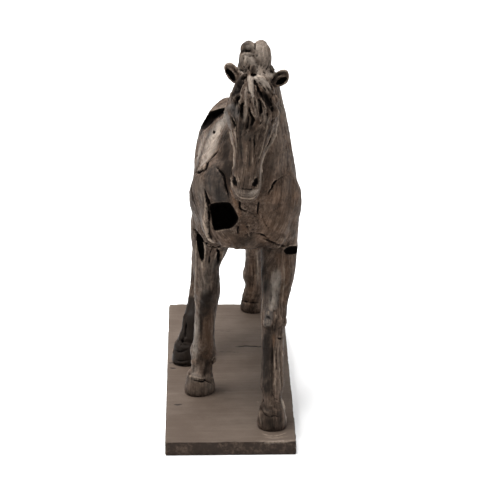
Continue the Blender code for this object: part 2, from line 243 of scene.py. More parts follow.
def groove(co, paths):
    """How far each stroke pushes the skin: its height times (1 - (d/r)^2)^2, where d is the distance
    to the stroke's path and r its reach. The path wanders a little, as a hand or a crack does, its
    depth comes and goes, and it narrows and fades out towards both ends."""
    push = np.zeros(len(co))
    for reach, height, path in paths:
        if len(path) < 2:
            continue
        rows, away, nearest = near_path(co, path + drift(path / (4 * reach), 11) * reach * WANDER, reach)
        t = np.arange(len(path)) / max(1, len(path) - 1)
        ends = np.clip(np.minimum(t, 1 - t) / FADE_SHARE, 0.1, 1)
        depth = height * np.sqrt(ends) * (0.85 + 0.35 * value_noise(path / (5 * reach), 14))
        narrow = 0.55 + 0.45 * np.sqrt(ends[nearest])
        push[rows] += depth[nearest] * np.clip(1 - (away / reach / narrow) ** 2, 0, 1) ** 2
    return push


class Value:
    """A node's output socket that is written like a number: each operator adds one Math node."""

    def __init__(self, tree, socket):
        self.tree = tree
        self.socket = socket

    def node(self, kind, settings=None, output=0, **inputs):
        made = self.tree.nodes.new(kind)
        for name, setting in (settings or {}).items():
            setattr(made, name, setting)
        for name, value in inputs.items():
            slot = made.inputs[int(name[1:]) if name[1:].isdigit() else name]
            if isinstance(value, Value):
                self.tree.links.new(value.socket, slot)
            else:
                slot.default_value = value
        return Value(self.tree, made.outputs[output])

    def maths(self, operation, *values):
        inputs = {f"i{k}": value for k, value in enumerate(values)}
        return self.node("ShaderNodeMath", {"operation": operation}, **inputs)

    def __add__(self, other):
        return self.maths("ADD", self, other)

    def __mul__(self, other):
        return self.maths("MULTIPLY", self, other)

    def __sub__(self, other):
        return self.maths("SUBTRACT", self, other)

    def __rsub__(self, other):
        return self.maths("SUBTRACT", other, self)

    __radd__ = __add__
    __rmul__ = __mul__

    def size(self):
        return self.maths("ABSOLUTE", self)

    def capped(self):
        return self.maths("MINIMUM", self, 1.0)

    def between(self, low, high):
        """0 at low, 1 at high, and smooth between."""
        inputs = {"i0": self, "i1": low, "i2": high, "i3": 0.0, "i4": 1.0}
        return self.node("ShaderNodeMapRange", {"interpolation_type": "SMOOTHSTEP"}, **inputs)

    def mix(self, first, second):
        """The colour first where this value is 0, second where it is 1."""
        inputs = {"i0": self, "i6": first, "i7": second}
        return self.node("ShaderNodeMix", {"data_type": "RGBA"}, output=2, **inputs)

    def noise(self, scale, detail=3.0, roughness=0.55):
        """Noise on this vector."""
        settings = {"Scale": scale, "Detail": detail, "Roughness": roughness}
        return self.node("ShaderNodeTexNoise", Vector=self, **settings)


def finish_material(name):
    """A new Principled material, with its shader, its tree and the object's own coordinates."""
    material = bpy.data.materials.new(name)
    material.use_nodes = True
    tree = material.node_tree
    shader = tree.nodes["Principled BSDF"]
    place = tree.nodes.new("ShaderNodeTexCoord")
    return material, shader, Value(tree, place.outputs["Object"])


def attribute(start, name):
    return start.node("ShaderNodeAttribute", {"attribute_name": name}, output=2)


def dress(start, shader, colour, roughness, height, depth):
    """Links a colour, a roughness and a bump of so many metres to the shader."""
    bump = start.node("ShaderNodeBump", Strength=1.0, Distance=depth, Height=height)
    start.tree.links.new(colour.socket, shader.inputs["Base Color"])
    start.tree.links.new(roughness.socket, shader.inputs["Roughness"])
    start.tree.links.new(bump.socket, shader.inputs["Normal"])


def tone(rgb):
    return (*rgb, 1.0)


def layered(colour, shades, layers):
    """Named shades laid over a colour in turn, each where its mask is 1."""
    for name, mask in layers:
        colour = mask.mix(colour, tone(shades[name]))
    return colour


plinth_low, plinth_high = (np.array(corner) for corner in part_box("plinth"))
plinth_middle = (plinth_low + plinth_high) / 2
plinth_half = (plinth_high - plinth_low) / 2
SLAB_CORNERS = np.array(list(np.ndindex(2, 2, 2)), float)
SLAB_FACES = [(0, 1, 3, 2), (4, 6, 7, 5), (0, 4, 5, 1), (2, 3, 7, 6), (0, 2, 6, 4), (1, 5, 7, 3)]
box = bpy.data.meshes.new("slab box")
box.from_pydata((plinth_low + SLAB_CORNERS * (plinth_high - plinth_low)).tolist(), [], SLAB_FACES)
slab = voxel_skin(link("slab box", box), SLAB_VOXEL, SLAB_ROUNDING)

# Rubble and chips on the sides, fine saw lines and a faint swell on top; the underside stays flat
co = coordinates(slab)
facing = normals(slab)
tree = search_tree(co, slab)
to_edge = plinth_half - np.abs(co - plinth_middle)
arris = np.clip(1 - np.minimum(to_edge[:, 0], to_edge[:, 1]) / ARRIS_REACH, 0, 1)
above = np.clip((co[:, 2] - plinth_low[2]) / (plinth_high[2] - plinth_low[2]), 0, 1)
sides = rough_noise(co * (160, 160, 260), 3) * SIDE_RUBBLE + rough_noise(co * 45, 9) * SIDE_RUBBLE
sides -= SIDE_CHIPS * np.clip(rough_noise(co * 70, 21) - 0.25, 0, 1) * above
lines = rough_noise(co * (40, 420, 40), 5) * SAW_LINES
swell = rough_noise(co * (26, 40, 26), 7) * TOP_SWELL


def on_slab(strokes):
    """The strokes with their points of the photograph carried onto the slab."""
    return [(reach, height, along(seen(tree, points), STROKE_STEP)) for reach, height, points in strokes]


cracks = groove(co, on_slab(SLAB_CRACKS))
flat = np.clip(facing[:, 2], 0, 1) ** 2
push = np.where(flat > 0.5, lines + swell, sides) + cracks - ARRIS_WEAR * arris * flat
push[facing[:, 2] < -0.5] = 0
place_vertices(slab, np.clip(co + facing * push[:, None], plinth_low, plinth_high))
smooth_shaded(slab)
write_attribute(slab, "crack", np.clip(-cracks / CRACK_DEPTH, 0, 1))
write_attribute(slab, "arris", arris)
write_attribute(slab, "scuff", np.clip(groove(co, on_slab(SLAB_SCUFFS)), 0, 1))
plinth_slab = link("plinth_slab", slab)

material, shader, place = finish_material("sanded resin slab")
streak = place.node("ShaderNodeMapping", Vector=place, Scale=(0.45, 6, 1)).noise(24, 6, 0.66)
cloud = place.noise(9, 5, 0.6)
speck = place.noise(700, 3)
crumb = place.noise(230, 5, 0.7)
crust = place.noise(60, 5, 0.65)
upward = place.node("ShaderNodeNewGeometry", output=1)
top = place.node("ShaderNodeSeparateXYZ", output=2, Vector=upward).between(0.35, 0.8)
worn = (streak * 0.30 + cloud * 0.8 + attribute(place, "arris") * 0.04).between(0.40, 0.74)
chipped = (crumb * 0.45 + crust * 0.55).between(0.48, 0.66) * 0.62
scuffed = attribute(place, "scuff") * crumb.between(0.36, 0.58)
# Dark specks, and painted shade along the cracks
dirt_and_crack_shade = (speck.between(0.58, 0.74) * 0.45 + attribute(place, "crack") * 1.4).between(0.05, 0.9)
colour = layered(tone(SLAB_SHADE["top"]), SLAB_SHADE, [("worn", worn)])
side = layered(tone(SLAB_SHADE["edge"]), SLAB_SHADE, [("chip", chipped)])
colour = layered(top.mix(side, colour), SLAB_SHADE, [("scuff", scuffed), ("dirt_and_crack_shade", dirt_and_crack_shade)])
height = streak * 0.4 + speck * 0.2 + cloud * 0.2 + (1 - top) * crumb * 1.2
shader.inputs["Specular IOR Level"].default_value = 0.15
dress(place, shader, colour, 0.78 - worn * 0.12, height, SLAB_BUMP)
slab.materials.append(material)
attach(plinth_slab, "root")
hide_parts("plinth")


# The horse is one hollow casting of grey-brown resin. The carver built the figure up from
# driftwood, so it is drawn here the same way: limbs first, then locks of hair, then the cuts.
# Its sections are in millimetres from the soles, with x to the horse's left and y to its rear.
MILLIMETRE = 0.001
horse_low, horse_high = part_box("horse")
STAND = np.array((plinth_middle[0], plinth_middle[1], horse_low[2]))
BODY_VOXEL = 3.0
SKIN_VOXEL = 1.3
BODY_EASING = 16
FLESH_EASING = 6
SKIN_EASING = 2
# Stations of a limb: x, y, z of its centre, half width, half depth, and how much wider the
# section is on its front or lower side
TRUNK = [
    (22, -150, 278, 34, 32, 0.0),
    (23, -138, 280, 58, 48, 0.0),
    (24, -114, 290, 71, 64, 0.05),
    (23, -76, 294, 72, 80, 0.12),
    (20, -36, 288, 65, 84, 0.2),
    (16, 10, 282, 62, 81, 0.24),
    (13, 55, 282, 61, 78, 0.22),
    (11, 100, 286, 58, 79, 0.18),
    (10, 145, 290, 55, 78, 0.15),
    (9, 183, 292, 46.5, 67, 0.15),
    (8, 211, 298, 31, 44, 0.1),
]
NECK = [
    (23, -74, 285, 68, 88, 0.0),
    (30, -80, 322, 66, 84, 0.0),
    (37, -84, 362, 52, 67, 0.0),
    (42, -88, 402, 39, 52, 0.0),
    (41, -95, 438, 31, 42, -0.05),
    (40, -107, 466, 25, 31, -0.1),
    (39, -122, 480, 19, 20, 0.0),
]
LEFT_FORELEG = [
    (64, -96, 270, 28, 38, 0),
    (70, -102, 240, 26, 32, 0),
    (69.3, -113, 214, 25.3, 26.5, 0),
    (66.8, -133, 186, 23, 21.5, 0),
    (63, -152, 162, 18.4, 17, 0),
    (60.5, -163, 146, 18.5, 18.5, 0),
    (59.5, -171, 127, 16.2, 15.5, 0),
    (58.5, -184, 96, 15.6, 14, 0),
    (58.2, -195, 71, 15.8, 14.5, 0),
    (58, -200, 56, 17.2, 17.5, 0),
    (57.6, -206, 41, 13.6, 14.4, 0),
    (57.2, -211, 26, 17, 17, 0),
]
RIGHT_FORELEG = [
    (-20, -80, 268, 29, 38, 0),
    (-23, -73, 238, 30, 33, 0),
    (-26, -71, 212, 26.5, 27, 0),
    (-31, -74, 186, 19.5, 21.5, 0),
    (-30, -79, 162, 18.5, 18, 0),
    (-30, -81, 145, 19, 18.5, 0),
    (-32, -82, 125, 16, 15.5, 0),
    (-34, -82, 97, 15, 14, 0),
    (-35, -82, 72, 16, 15, 0),
    (-36, -79, 57, 20, 19, 0),
    (-37.5, -82, 42, 15.2, 15, 0),
    (-39, -84.5, 28, 16.4, 16.4, 0),
]
LEFT_HINDLEG = [
    (36, 148, 286, 26, 52, 0),
    (42, 158, 250, 27, 54, 0),
    (45, 167, 217, 23, 43, 0),
    (45, 189, 184, 19.5, 28, 0),
    (43.5, 212, 154, 17, 20, 0),
    (43, 225, 136, 17, 20, 0),
    (43, 232, 114, 14.5, 15.5, 0),
    (43, 237, 88, 13.5, 13.5, 0),
    (42.5, 240, 66, 14.5, 15, 0),
    (42, 241, 56, 17, 17.5, 0),
    (43.5, 239, 41, 14, 14, 0),
    (42.5, 236, 27, 17, 17.5, 0),
]
RIGHT_HINDLEG = [
    (-13, 144, 284, 27, 52, 0),
    (-22, 128, 250, 26, 56, 0),
    (-28, 114, 214, 20.5, 44, 0),
    (-32, 111, 180, 17.5, 29, 0),
    (-35, 114, 148, 16, 21, 0),
    (-37, 109, 130, 16, 20, 0),
    (-41, 93, 107, 13, 15.5, 0),
    (-45.5, 73, 83, 12.2, 13.5, 0),
    (-50.5, 57, 63, 12.8, 14.5, 0),
    (-52.5, 49, 54, 14.4, 16, 0),
    (-55.5, 41, 41, 13.2, 14, 0),
    (-59, 34, 27, 17.4, 17.5, 0),
]
# Muscles and bones: x, y, z, three half axes, and a turn about X in degrees
MUSCLES = [
    (22, -136, 265, 62, 26, 36, 0),
    (55, -104, 286, 47, 42, 66, 22),
    (-7, -102, 294, 48, 42, 63, 22),
    (70, -100, 250, 28, 38, 34, -15),
    (-20, -84, 250, 28, 38, 34, -15),
    (-8, -80, 236, 14, 24, 24, 0),
    (36, 158, 276, 31, 52, 48, 12),
    (-14, 156, 272, 33, 52, 46, 12),
    (20, -20, 334, 20, 66, 42, 8),
]


def unit(rows):
    return rows / np.linalg.norm(rows, axis=1)[:, None]


def sides_of(tangent):
    """The unit vectors across a line, which is X less its share along the line, and to its front."""
    across = unit(np.array([1.0, 0, 0]) - tangent * tangent[:, :1])
    return across, np.cross(tangent, across)


def ring_faces(rings, sides):
    """Quads between rings of as many points, and a fan of triangles to each end's hub, whose two
    points come last."""
    ring, k = np.divmod(np.arange((rings - 1) * sides), sides)
    here, after = ring * sides + k, ring * sides + (k + 1) % sides
    quads = np.stack([here, after, after + sides, here + sides], axis=1)
    k = np.arange(sides)
    hub = np.full(sides, rings * sides)
    last = (rings - 1) * sides
    low = np.stack([(k + 1) % sides, k, hub], axis=1)
    high = np.stack([last + k, last + (k + 1) % sides, hub + 1], axis=1)
    return quads.tolist() + low.tolist() + high.tolist()


def placed(points, place):
    """Points turned and moved as the 4 by 4 array place says."""
    return points @ place[:3, :3].T + place[:3, 3]


def tube(stations, sides=32, step=3.0, cap=0.7, place=None):
    """A closed shell round a curve: at each point an ellipse of the station's half width and half
    depth across the curve, widened by its lean, with ends that close as a quarter ellipse does."""
    rows = along(stations, step)
    tangent = unit(np.gradient(rows[:, :3], axis=0))
    dome = np.sin(np.linspace(0, math.pi / 2, 6))[1:]
    ends = []
    for row, outward in ((rows[0], -tangent[0]), (rows[-1], tangent[-1])):
        end = np.tile(row, (len(dome), 1))
        end[:, :3] += outward * (cap * min(row[3], row[4]) * dome)[:, None]
        end[:, 3:5] *= np.sqrt(np.maximum(1 - dome**2, 0.003))[:, None]
        ends.append(end)
    rows = np.vstack([ends[0][::-1], rows, ends[1]])
    tangent = np.pad(tangent, ((len(dome), len(dome)), (0, 0)), "edge")
    across, front = sides_of(tangent)
    turn = np.linspace(0, 2 * math.pi, sides, endpoint=False)
    width = rows[:, 3, None] * np.cos(turn) * (1 + rows[:, 5, None] * np.sin(turn))
    depth = rows[:, 4, None] * np.sin(turn)
    rings = rows[:, None, :3] + width[..., None] * across[:, None] + depth[..., None] * front[:, None]
    verts = np.vstack([rings.reshape(-1, 3), rows[:1, :3], rows[-1:, :3]])
    if place is not None:
        verts = placed(verts, place)
    return verts, ring_faces(len(rows), sides)


def lump(x, y, z, half_x, half_y, half_z, lean=0, place=None):
    """An ellipsoid, leaning about X by so many degrees: a tube whose radius follows a circle."""
    t = np.linspace(-1, 1, 19)
    t = np.sin(t * math.pi / 2) * 0.999
    angle = math.radians(lean)
    axis = np.array((0, -math.sin(angle), math.cos(angle)))
    girth = np.sqrt(1 - t * t)
    centre = np.array((x, y, z)) + np.outer(t * half_z, axis)
    rows = np.column_stack([centre, girth * half_x, girth * half_y, np.zeros(len(t))])
    return tube(rows, sides=28, step=half_z / 9, cap=0.3, place=place)


def pile(name, shells):
    """All the shells in one mesh, each closed and overlapping its neighbours."""
    verts, faces, start = [], [], 0
    for shell_verts, shell_faces in shells:
        verts += shell_verts.tolist()
        faces += [[start + k for k in face] for face in shell_faces]
        start += len(shell_verts)
    mesh = bpy.data.meshes.new(name)
    mesh.from_pydata(verts, [], faces)
    return mesh


# Head: drawn upright, then pitched, tilted and turned onto the neck
HEAD = [
    (0, -8, -2, 19, 19, 0.0),
    (0, -3, 16, 25, 29, 0.0),
    (0, 0, 38, 30, 34, 0.1),
    (0, 0, 54, 32.5, 35, 0.15),
    (0, 0, 68, 29.5, 34, 0.2),
    (0, 3, 92, 23.5, 28, 0.2),
    (0, 4, 116, 19.5, 23, 0.1),
    (0, 4, 135, 20, 21, 0.0),
    (0, 2, 150, 21.5, 19.5, 0.0),
    (0, -1, 160, 19, 15, 0.0),
]
HEAD_FORMS = [(25, 16, 34, 9, 11, 9), (20, -20, 58, 15, 21, 25), (13, 15, 147, 8, 7, 10)]
POLL = (38, -131, 476)
HEAD_TURN = (("Z", -4), ("Y", 5), ("X", -17))
head_place = Matrix.Translation(POLL)
for axis, degrees in HEAD_TURN:
    head_place = head_place @ Matrix.Rotation(math.radians(degrees), 4, axis)
head_place = np.array(head_place @ Matrix.Diagonal((1, -1, -1, 1)))


def shells_of(mesh):
    return coordinates(mesh), [list(polygon.vertices) for polygon in mesh.polygons]


body_shells = [tube(TRUNK, 48, cap=0.45), tube(NECK, 44)] + [lump(*muscle) for muscle in MUSCLES]
body = voxel_skin(link("body", pile("body", body_shells)), BODY_VOXEL, BODY_EASING)
LEGS = [LEFT_FORELEG, RIGHT_FORELEG, LEFT_HINDLEG, RIGHT_HINDLEG]
flesh_shells = [tube(leg, cap=0.2) for leg in LEGS]
flesh_shells.append(tube(HEAD, 40, cap=0.9, place=head_place))
for side in (-1, 1):
    flesh_shells += [lump(side * u, *rest, place=head_place) for u, *rest in HEAD_FORMS]
flesh_shells.append(shells_of(body))
flesh = voxel_skin(link("flesh", pile("flesh", flesh_shells)), BODY_VOXEL, FLESH_EASING)


# Rotted hollows. Those that the photograph shows are traced in it and bored along the line of
# sight, to so many millimetres; the rest are rifts along a line, with ragged walls.
CHEST_HOLE = [
    (210.5, 204.5),
    (216, 202.4),
    (229, 202.4),
    (233, 207),
    (236, 212),
    (238.4, 218),
    (235.5, 224.4),
    (230.5, 228.6),
    (223, 229.4),
    (214.6, 230.4),
    (212.2, 225),
    (211.6, 217),
    (209.4, 209),
]
BACK_RIFT = [
    (199, 129), (203, 118), (208, 112), (217, 109.6), (228, 107.2), (229.6, 110), (222, 114.4),
    (215, 119.4), (212, 123.6), (205, 129.4),
]
ELBOW_HOLE = [(283.2, 251), (286, 247.8), (291, 246), (299, 246), (299, 253), (292, 254.4), (286, 254)]
FORELEG_SLOT = [
    (196.4, 236), (199.5, 234), (203, 240), (204.4, 250), (204.2, 258), (201.6, 262), (199.4, 256),
    (197.4, 246),
]
FORELEG_SLIT = [(216.6, 249), (218.6, 248), (219.8, 256), (219.4, 262), (217.6, 265), (216.6, 257)]
CROUP_PIT = [(212.6, 131), (214.2, 130.6), (215.2, 132.6), (213.2, 134)]
BORES = [
    (CHEST_HOLE, 42), (BACK_RIFT, 45), (ELBOW_HOLE, 16), (FORELEG_SLOT, 15), (FORELEG_SLIT, 8),
    (CROUP_PIT, 5),
]
RIFTS = [
    [(86, 16, 296, 2, 3, 0), (82, 34, 298, 8, 6, 0), (78, 54, 300, 3, 3, 0)],
    [(-56, 20, 312, 2, 3, 0), (-50, 40, 310, 7, 6, 0), (-48, 62, 306, 2, 3, 0)],
    [(-50, 160, 272, 3, 4, 0), (-46, 168, 252, 6, 6, 0), (-42, 172, 234, 2, 3, 0)],
    [(10, 60, 374, 2, 3, 0), (14, 40, 376, 4, 6, 0), (20, 16, 378, 2, 3, 0)],
]
RAGGED = 1.3
BORE_RAGGED = 0.7
# Where a plug starts in front of the surface, in millimetres behind it, and how round its dome is
PLUG_FRONT = (-50, -20)
DOME_END = 0.96


def to_figure(points):
    return (np.asarray(points) - STAND) / MILLIMETRE


def to_world(points):
    return np.asarray(points) * MILLIMETRE + STAND


def surface(mesh):
    """A mesh of the figure, in millimetres, as a search tree in the frame of the camera."""
    return search_tree(to_world(coordinates(mesh)), mesh)


def ragged(shell, amount):
    verts, faces = shell
    return verts + drift(verts / 9, 31, rough_noise) * amount, faces


def closed(outline, step=1.0):
    """An outline of the photograph as a smooth closed line of points."""
    rows = np.array(outline, float)
    line = along(np.vstack([rows[-2:], rows, rows[:3]]), step)
    first = np.linalg.norm(line - rows[0], axis=1)[: len(line) // 2].argmin()
    last = len(line) // 2 + np.linalg.norm(line - rows[0], axis=1)[len(line) // 2 :].argmin()
    return line[first:last]


def sight_rings(line, shares, depths, middle):
    """Rings of a line of the photograph: each is drawn towards the line's middle by its share, at a
    distance of so many millimetres behind the middle point of the figure."""
    rays = np.array([sight(x, y) for x, y in line])
    centre = np.array(sight(*line.mean(axis=0)))
    reach = np.linalg.norm(to_world(middle) - CAMERA_PLACE) / np.linalg.norm(centre)
    shares, depths = np.array(shares, float), reach + np.array(depths) * MILLIMETRE
    rings = CAMERA_PLACE + (centre + (rays - centre) * shares[:, None, None]) * depths[:, None, None]
    hubs = CAMERA_PLACE + centre * depths[[0, -1], None]
    return to_figure(np.vstack([rings.reshape(-1, 3), hubs])), ring_faces(len(depths), len(line))


def middle_of(tree, line):
    return to_figure(seen(tree, [line.mean(axis=0)])[0])


def bore(outline, depth, tree):
    """A plug along the sight lines through an outline: straight to the surface and then a dome, its
    share falling as the root of cos t while its depth grows as sin t."""
    line = closed(outline)
    t = np.linspace(0, math.pi / 2 * DOME_END, 9)
    shares = np.r_[1, 1, np.cos(t) ** 0.5 * 0.9 + 0.1]
    return sight_rings(line, shares, np.r_[PLUG_FRONT, np.sin(t) * depth], middle_of(tree, line))


def inside(co, outline, nearer, farther):
    """Which vertices show inside an outline of the photograph, between two distances: the count
    of the outline's edges that a line to the right of the point crosses is odd."""
    offset = to_world(co) - CAMERA_PLACE
    far = offset @ AHEAD
    x = FRAME_MIDDLE + FOCAL * (offset @ SIDEWAYS) / far
    y = FRAME_MIDDLE - FOCAL * (offset @ UPWARDS) / far
    odd = np.zeros(len(co), bool)
    for (ax, ay), (bx, by) in zip(outline, outline[1:] + outline[:1]):
        straddles = (ay > y) != (by > y)
        odd ^= straddles & (x < ax + (y - ay) / (by - ay + 1e-9) * (bx - ax))
    return odd & (far > nearer) & (far < farther)


def reach_of(point):
    """How far a point of the figure is from the camera, straight ahead."""
    return float((to_world(point) - CAMERA_PLACE) @ AHEAD)


whole_tree = surface(flesh)
plugs = [ragged(bore(outline, depth, whole_tree), BORE_RAGGED) for outline, depth in BORES]
plugs += [ragged(tube(rift, 24, cap=0.9), RAGGED) for rift in RIFTS]
bored = [(outline, reach_of(middle_of(whole_tree, closed(outline))), depth) for outline, depth in BORES]
cutter = link("cutter", pile("cuts", plugs))
holed = link("holed", flesh)
rot = holed.modifiers.new("rot", "BOOLEAN")
rot.operation = "DIFFERENCE"
rot.solver = "MANIFOLD"
rot.object = cutter
flesh = finished(holed)
bpy.data.objects.remove(holed)
bpy.data.objects.remove(cutter)
flesh_tree = surface(flesh)

# Hooves flare to the ground: centre of the sole, half width, half length, how far back the
# coronet lies, and how many degrees the toe is turned out
HOOVES = [
    (57, -215, 20.5, 21.5, 4, 0),
    (-41.5, -87.5, 21, 25, 3, -24),
    (41.5, 240, 19.5, 21, -3, 0),
    (-61.5, 25, 20.5, 22.5, 8, -10),
]
HOOF_PROFILE = [
    (-6, 0.86), (0, 0.95), (4, 1.0), (9, 0.985), (16, 0.915), (21, 0.87), (24, 0.86), (27, 0.82),
    (31, 0.62),
]


def hoof(x, y, half_width, half_length, set_back, toe_out):
    """Horizontal ellipses: each is the sole's, times the profile's share, moved back with height."""
    profile = along([(0, z, share) for z, share in HOOF_PROFILE], 1.5)
    turn = np.linspace(0, 2 * math.pi, 40, endpoint=False)
    z, share = profile[:, 1, None], profile[:, 2, None]
    swing = math.radians(toe_out)
    wide, long = half_width * np.cos(turn), half_length * np.sin(turn)
    across = wide * math.cos(swing) - long * math.sin(swing)
    ahead = wide * math.sin(swing) + long * math.cos(swing)
    back = set_back * z / HOOF_PROFILE[-1][0]
    rings = np.stack([x + share * across, y + share * ahead + back, z + 0 * turn], axis=2)
    hubs = [(x, y, profile[0, 1]), (x, y + set_back, profile[-1, 1])]
    return np.vstack([rings.reshape(-1, 3), hubs]), ring_faces(len(profile), len(turn))


# Ears: thick spoon-shaped cups, turned out and forward. The outer and the inner outline of each
# are traced in the photograph.
RIGHT_EAR = [
    (224, 67), (226, 63.4), (230, 62.2), (235, 65), (240, 70), (240, 76), (237, 82), (234, 83.4),
    (230, 80), (226, 74),
]
RIGHT_EAR_CUP = [
    (226, 70), (228.6, 68.6), (232, 71.6), (234.6, 76), (235.4, 81), (233, 81.4), (229.6, 77.4),
    (227, 73.6),
]
LEFT_EAR = [
    (266, 81), (271, 76), (278, 71), (284, 69.2), (288.2, 71.2), (289.2, 76), (287.6, 82), (283, 85.6),
    (277, 87.6), (270, 87),
]
LEFT_EAR_CUP = [
    (275.6, 83.6), (277.6, 80.2), (281.4, 77.8), (285.8, 77), (287, 79), (284.6, 82.4), (280.4, 84.6),
    (277, 85),
]
EARS = [(RIGHT_EAR, RIGHT_EAR_CUP, (-32, -4, -1)), (LEFT_EAR, LEFT_EAR_CUP, (32, -4, -1))]
# Rings of an ear: the share of its outline's size, and how many millimetres they lie behind its root
EAR_BACK = [(0.2, 6.5), (0.6, 6), (0.88, 4), (1, 1), (1, -2), (0.94, -4.5)]
EAR_CUP = [(1, -4), (0.92, 0), (0.6, 3), (0.2, 4)]
EAR_LIP = -5.2
EAR_SIDES = 40


def by_angle(line, middle, count):
    """A closed line's points at even angles round a middle point."""
    turn = np.arctan2(line[:, 1] - middle[1], line[:, 0] - middle[0])
    order = np.argsort(turn)
    even = np.linspace(-math.pi, math.pi, count, endpoint=False)
    turn, line = turn[order], line[order]
    return np.stack([np.interp(even, turn, line[:, k], period=2 * math.pi) for k in (0, 1)], axis=1)


def ear_root(seat):
    return head_place[:3, :3] @ np.array(seat, float) + head_place[:3, 3]


def ear(outer, inner, seat):
    """Rings from the middle of the back round the outline to the lip, and down into the cup."""

    def ring(line, depth):
        return sight_rings(line, [1], [depth], ear_root(seat))[0][:-2]

    middle = np.mean(inner, axis=0)
    rim = by_angle(closed(inner, 0.5), middle, EAR_SIDES)
    edge = by_angle(closed(outer, 0.5), middle, EAR_SIDES)
    rings = [ring(middle + (edge - middle) * share, depth) for share, depth in EAR_BACK]
    rings.append(ring((edge + rim) / 2, EAR_LIP))
    rings += [ring(middle + (rim - middle) * share, depth) for share, depth in EAR_CUP]
    hubs = [rings[0].mean(axis=0), rings[-1].mean(axis=0)]
    return np.vstack([*rings, hubs]), ring_faces(len(rings), EAR_SIDES)


# Knobs of bone under the skin: where each shows in the photograph, its radius, and how far it is
# sunk
KNOBS = [
    (232.4, 110.0, 8.5, 5.2),
    (273.4, 112.6, 8.0, 5.2),
    (267.4, 322.4, 6.8, 1.0),
    (269.0, 313.2, 4.6, 1.2),
    (279.4, 321.5, 10.5, 7.2),
    (206, 295, 13, 10.0),
    (196, 362, 7.5, 4.8),
    (211, 359, 7.5, 4.8),
    (262.6, 406.4, 4.2, 2.8),
    (281, 353.6, 4.2, 2.4),
    (225, 241.5, 7.0, 4.5),
    (237, 243.5, 8.0, 5.0),
    (214, 239, 6.0, 3.0),
    (252, 240, 12, 9.0),
    (274, 238, 15, 11.0),
]


def knob(x, y, radius, sunk):
    """A ball behind the place where its sight line meets the figure."""
    hit = to_figure(seen(flesh_tree, [(x, y)])[0])
    return lump(*(hit + sight(x, y) * sunk), radius, radius, radius)


# Hair is carved in locks. The forelock's are traced in the photograph: each point has a half
# width and how far the lock stands off the face.
TOPKNOT = [
    (27, -118, 490, 13.5, 20, 19), (27, -119, 506, 11, 14, 12), (43.6, -114, 493, 15.2, 22, 24.5),
    (32.5, -151, 487, 5.0, 6.0, 7.2),
]
FORELOCK = [
    [(250, 74, 3, 4), (250.4, 80, 4.6, 6), (251.2, 87, 4.0, 5.6), (252.2, 93, 2.4, 4.6),
        (252.8, 98, 0.8, 2.5)],
    [(251, 84, 6, 3), (251.5, 94, 6.5, 4), (252.5, 104, 6.2, 4.5), (255, 113, 4.3, 4),
        (258, 121.5, 1.2, 2)],
    [(247.5, 84, 4, 3), (246.8, 95, 4.5, 4), (246.6, 107, 4, 3.5), (245, 119, 3.2, 2.5),
        (242, 133, 1.2, 1)],
    [(246.5, 82, 3.5, 4), (243.8, 92, 4.2, 4.5), (241, 101, 3.6, 3.5), (238.6, 108, 1.6, 2)],
    [(245, 80, 3.5, 3.5), (240.5, 90, 3.8, 4), (236.5, 97, 3.4, 3.5), (232.6, 102, 1.8, 2)],
    [(243, 76, 4, 3), (239.5, 83, 4.4, 4), (235.5, 90, 3.8, 3.5), (231.8, 97, 2, 2)],
    [(255.6, 76, 3.4, 4.5), (260, 78.8, 4.4, 6), (264.8, 82.8, 3.9, 5.5), (269.4, 88, 2.5, 4),
        (273, 93.5, 1, 2)],
    [(257.5, 80, 3, 3), (262, 86.6, 3.2, 3.8), (266.6, 92, 2.8, 3.4), (271, 97.6, 1.2, 1.6)],
    [(262.4, 76.4, 2.4, 4), (267.4, 79.4, 2.6, 5), (271.2, 84, 2.0, 4), (274, 89.6, 1.0, 2)],
    [(261, 90, 3, 2), (266.5, 97, 3.2, 3), (271.5, 104.5, 2.6, 2.6), (277.5, 111, 1.4, 1.5)],
    [
        (258.6, 97.5, 2.2, 3),
        (262.4, 103.5, 2.6, 3.6),
        (264.8, 110, 2.6, 3.2),
        (263, 116, 2.4, 3),
        (258.5, 124, 2.0, 2.4),
        (252.5, 130, 1.7, 1.6),
        (245.8, 135.8, 1, 0.6),
    ],
    [(256, 99, 1.7, 4), (257.4, 107, 1.9, 4.4), (259.3, 118, 1.3, 3)],
    [(263, 94, 3, 2), (267.5, 103, 3, 2.6), (270, 112, 2.6, 2), (267, 122, 1.4, 1)],
    [(262, 112, 1.4, 2.6), (258, 120, 1.4, 2.2), (251, 127.5, 1.3, 1.6), (243.5, 132, 0.9, 0.6)],
    [(244.4, 112, 2, 1.5), (243, 122, 2, 1.5), (240.5, 132, 1, 0.5)],
    [(240.5, 106, 1.8, 1.5), (239.8, 118, 1.7, 1.2), (238.2, 128, 0.9, 0.4)],
    [(238, 70.5, 3, 3), (242.5, 72.5, 3.4, 5), (246.5, 75.5, 3, 5)],
    [(270.5, 66, 3, 0), (272.5, 72, 4, 3), (270, 79, 3, 2)],
]
LOCK_SPREAD = 1.15
LOCK_DEPTH = 0.62
LOCK_EASING = np.array((1, 2, 3, 2, 1)) / 9


def on_face(points):
    """A lock's stations: where each sight line meets the flesh, raised towards the camera."""
    rows = along([(x, y, 0, width, lift) for x, y, width, lift in points], 1.5)
    stations = []
    for x, y, _, width, lift in rows:
        hit = flesh_tree.ray_cast(Vector(CAMERA_PLACE), Vector(sight(x, y)))[0]
        if hit is not None:
            centre = to_figure(hit) - sight(x, y) * lift
            stations.append((*centre, width * LOCK_SPREAD, max(1.0, LOCK_DEPTH * width), 0))
    padded = np.pad(np.array(stations), ((2, 2), (0, 0)), "edge")
    return np.stack([np.convolve(column, LOCK_EASING, "valid") for column in padded.T], axis=1)


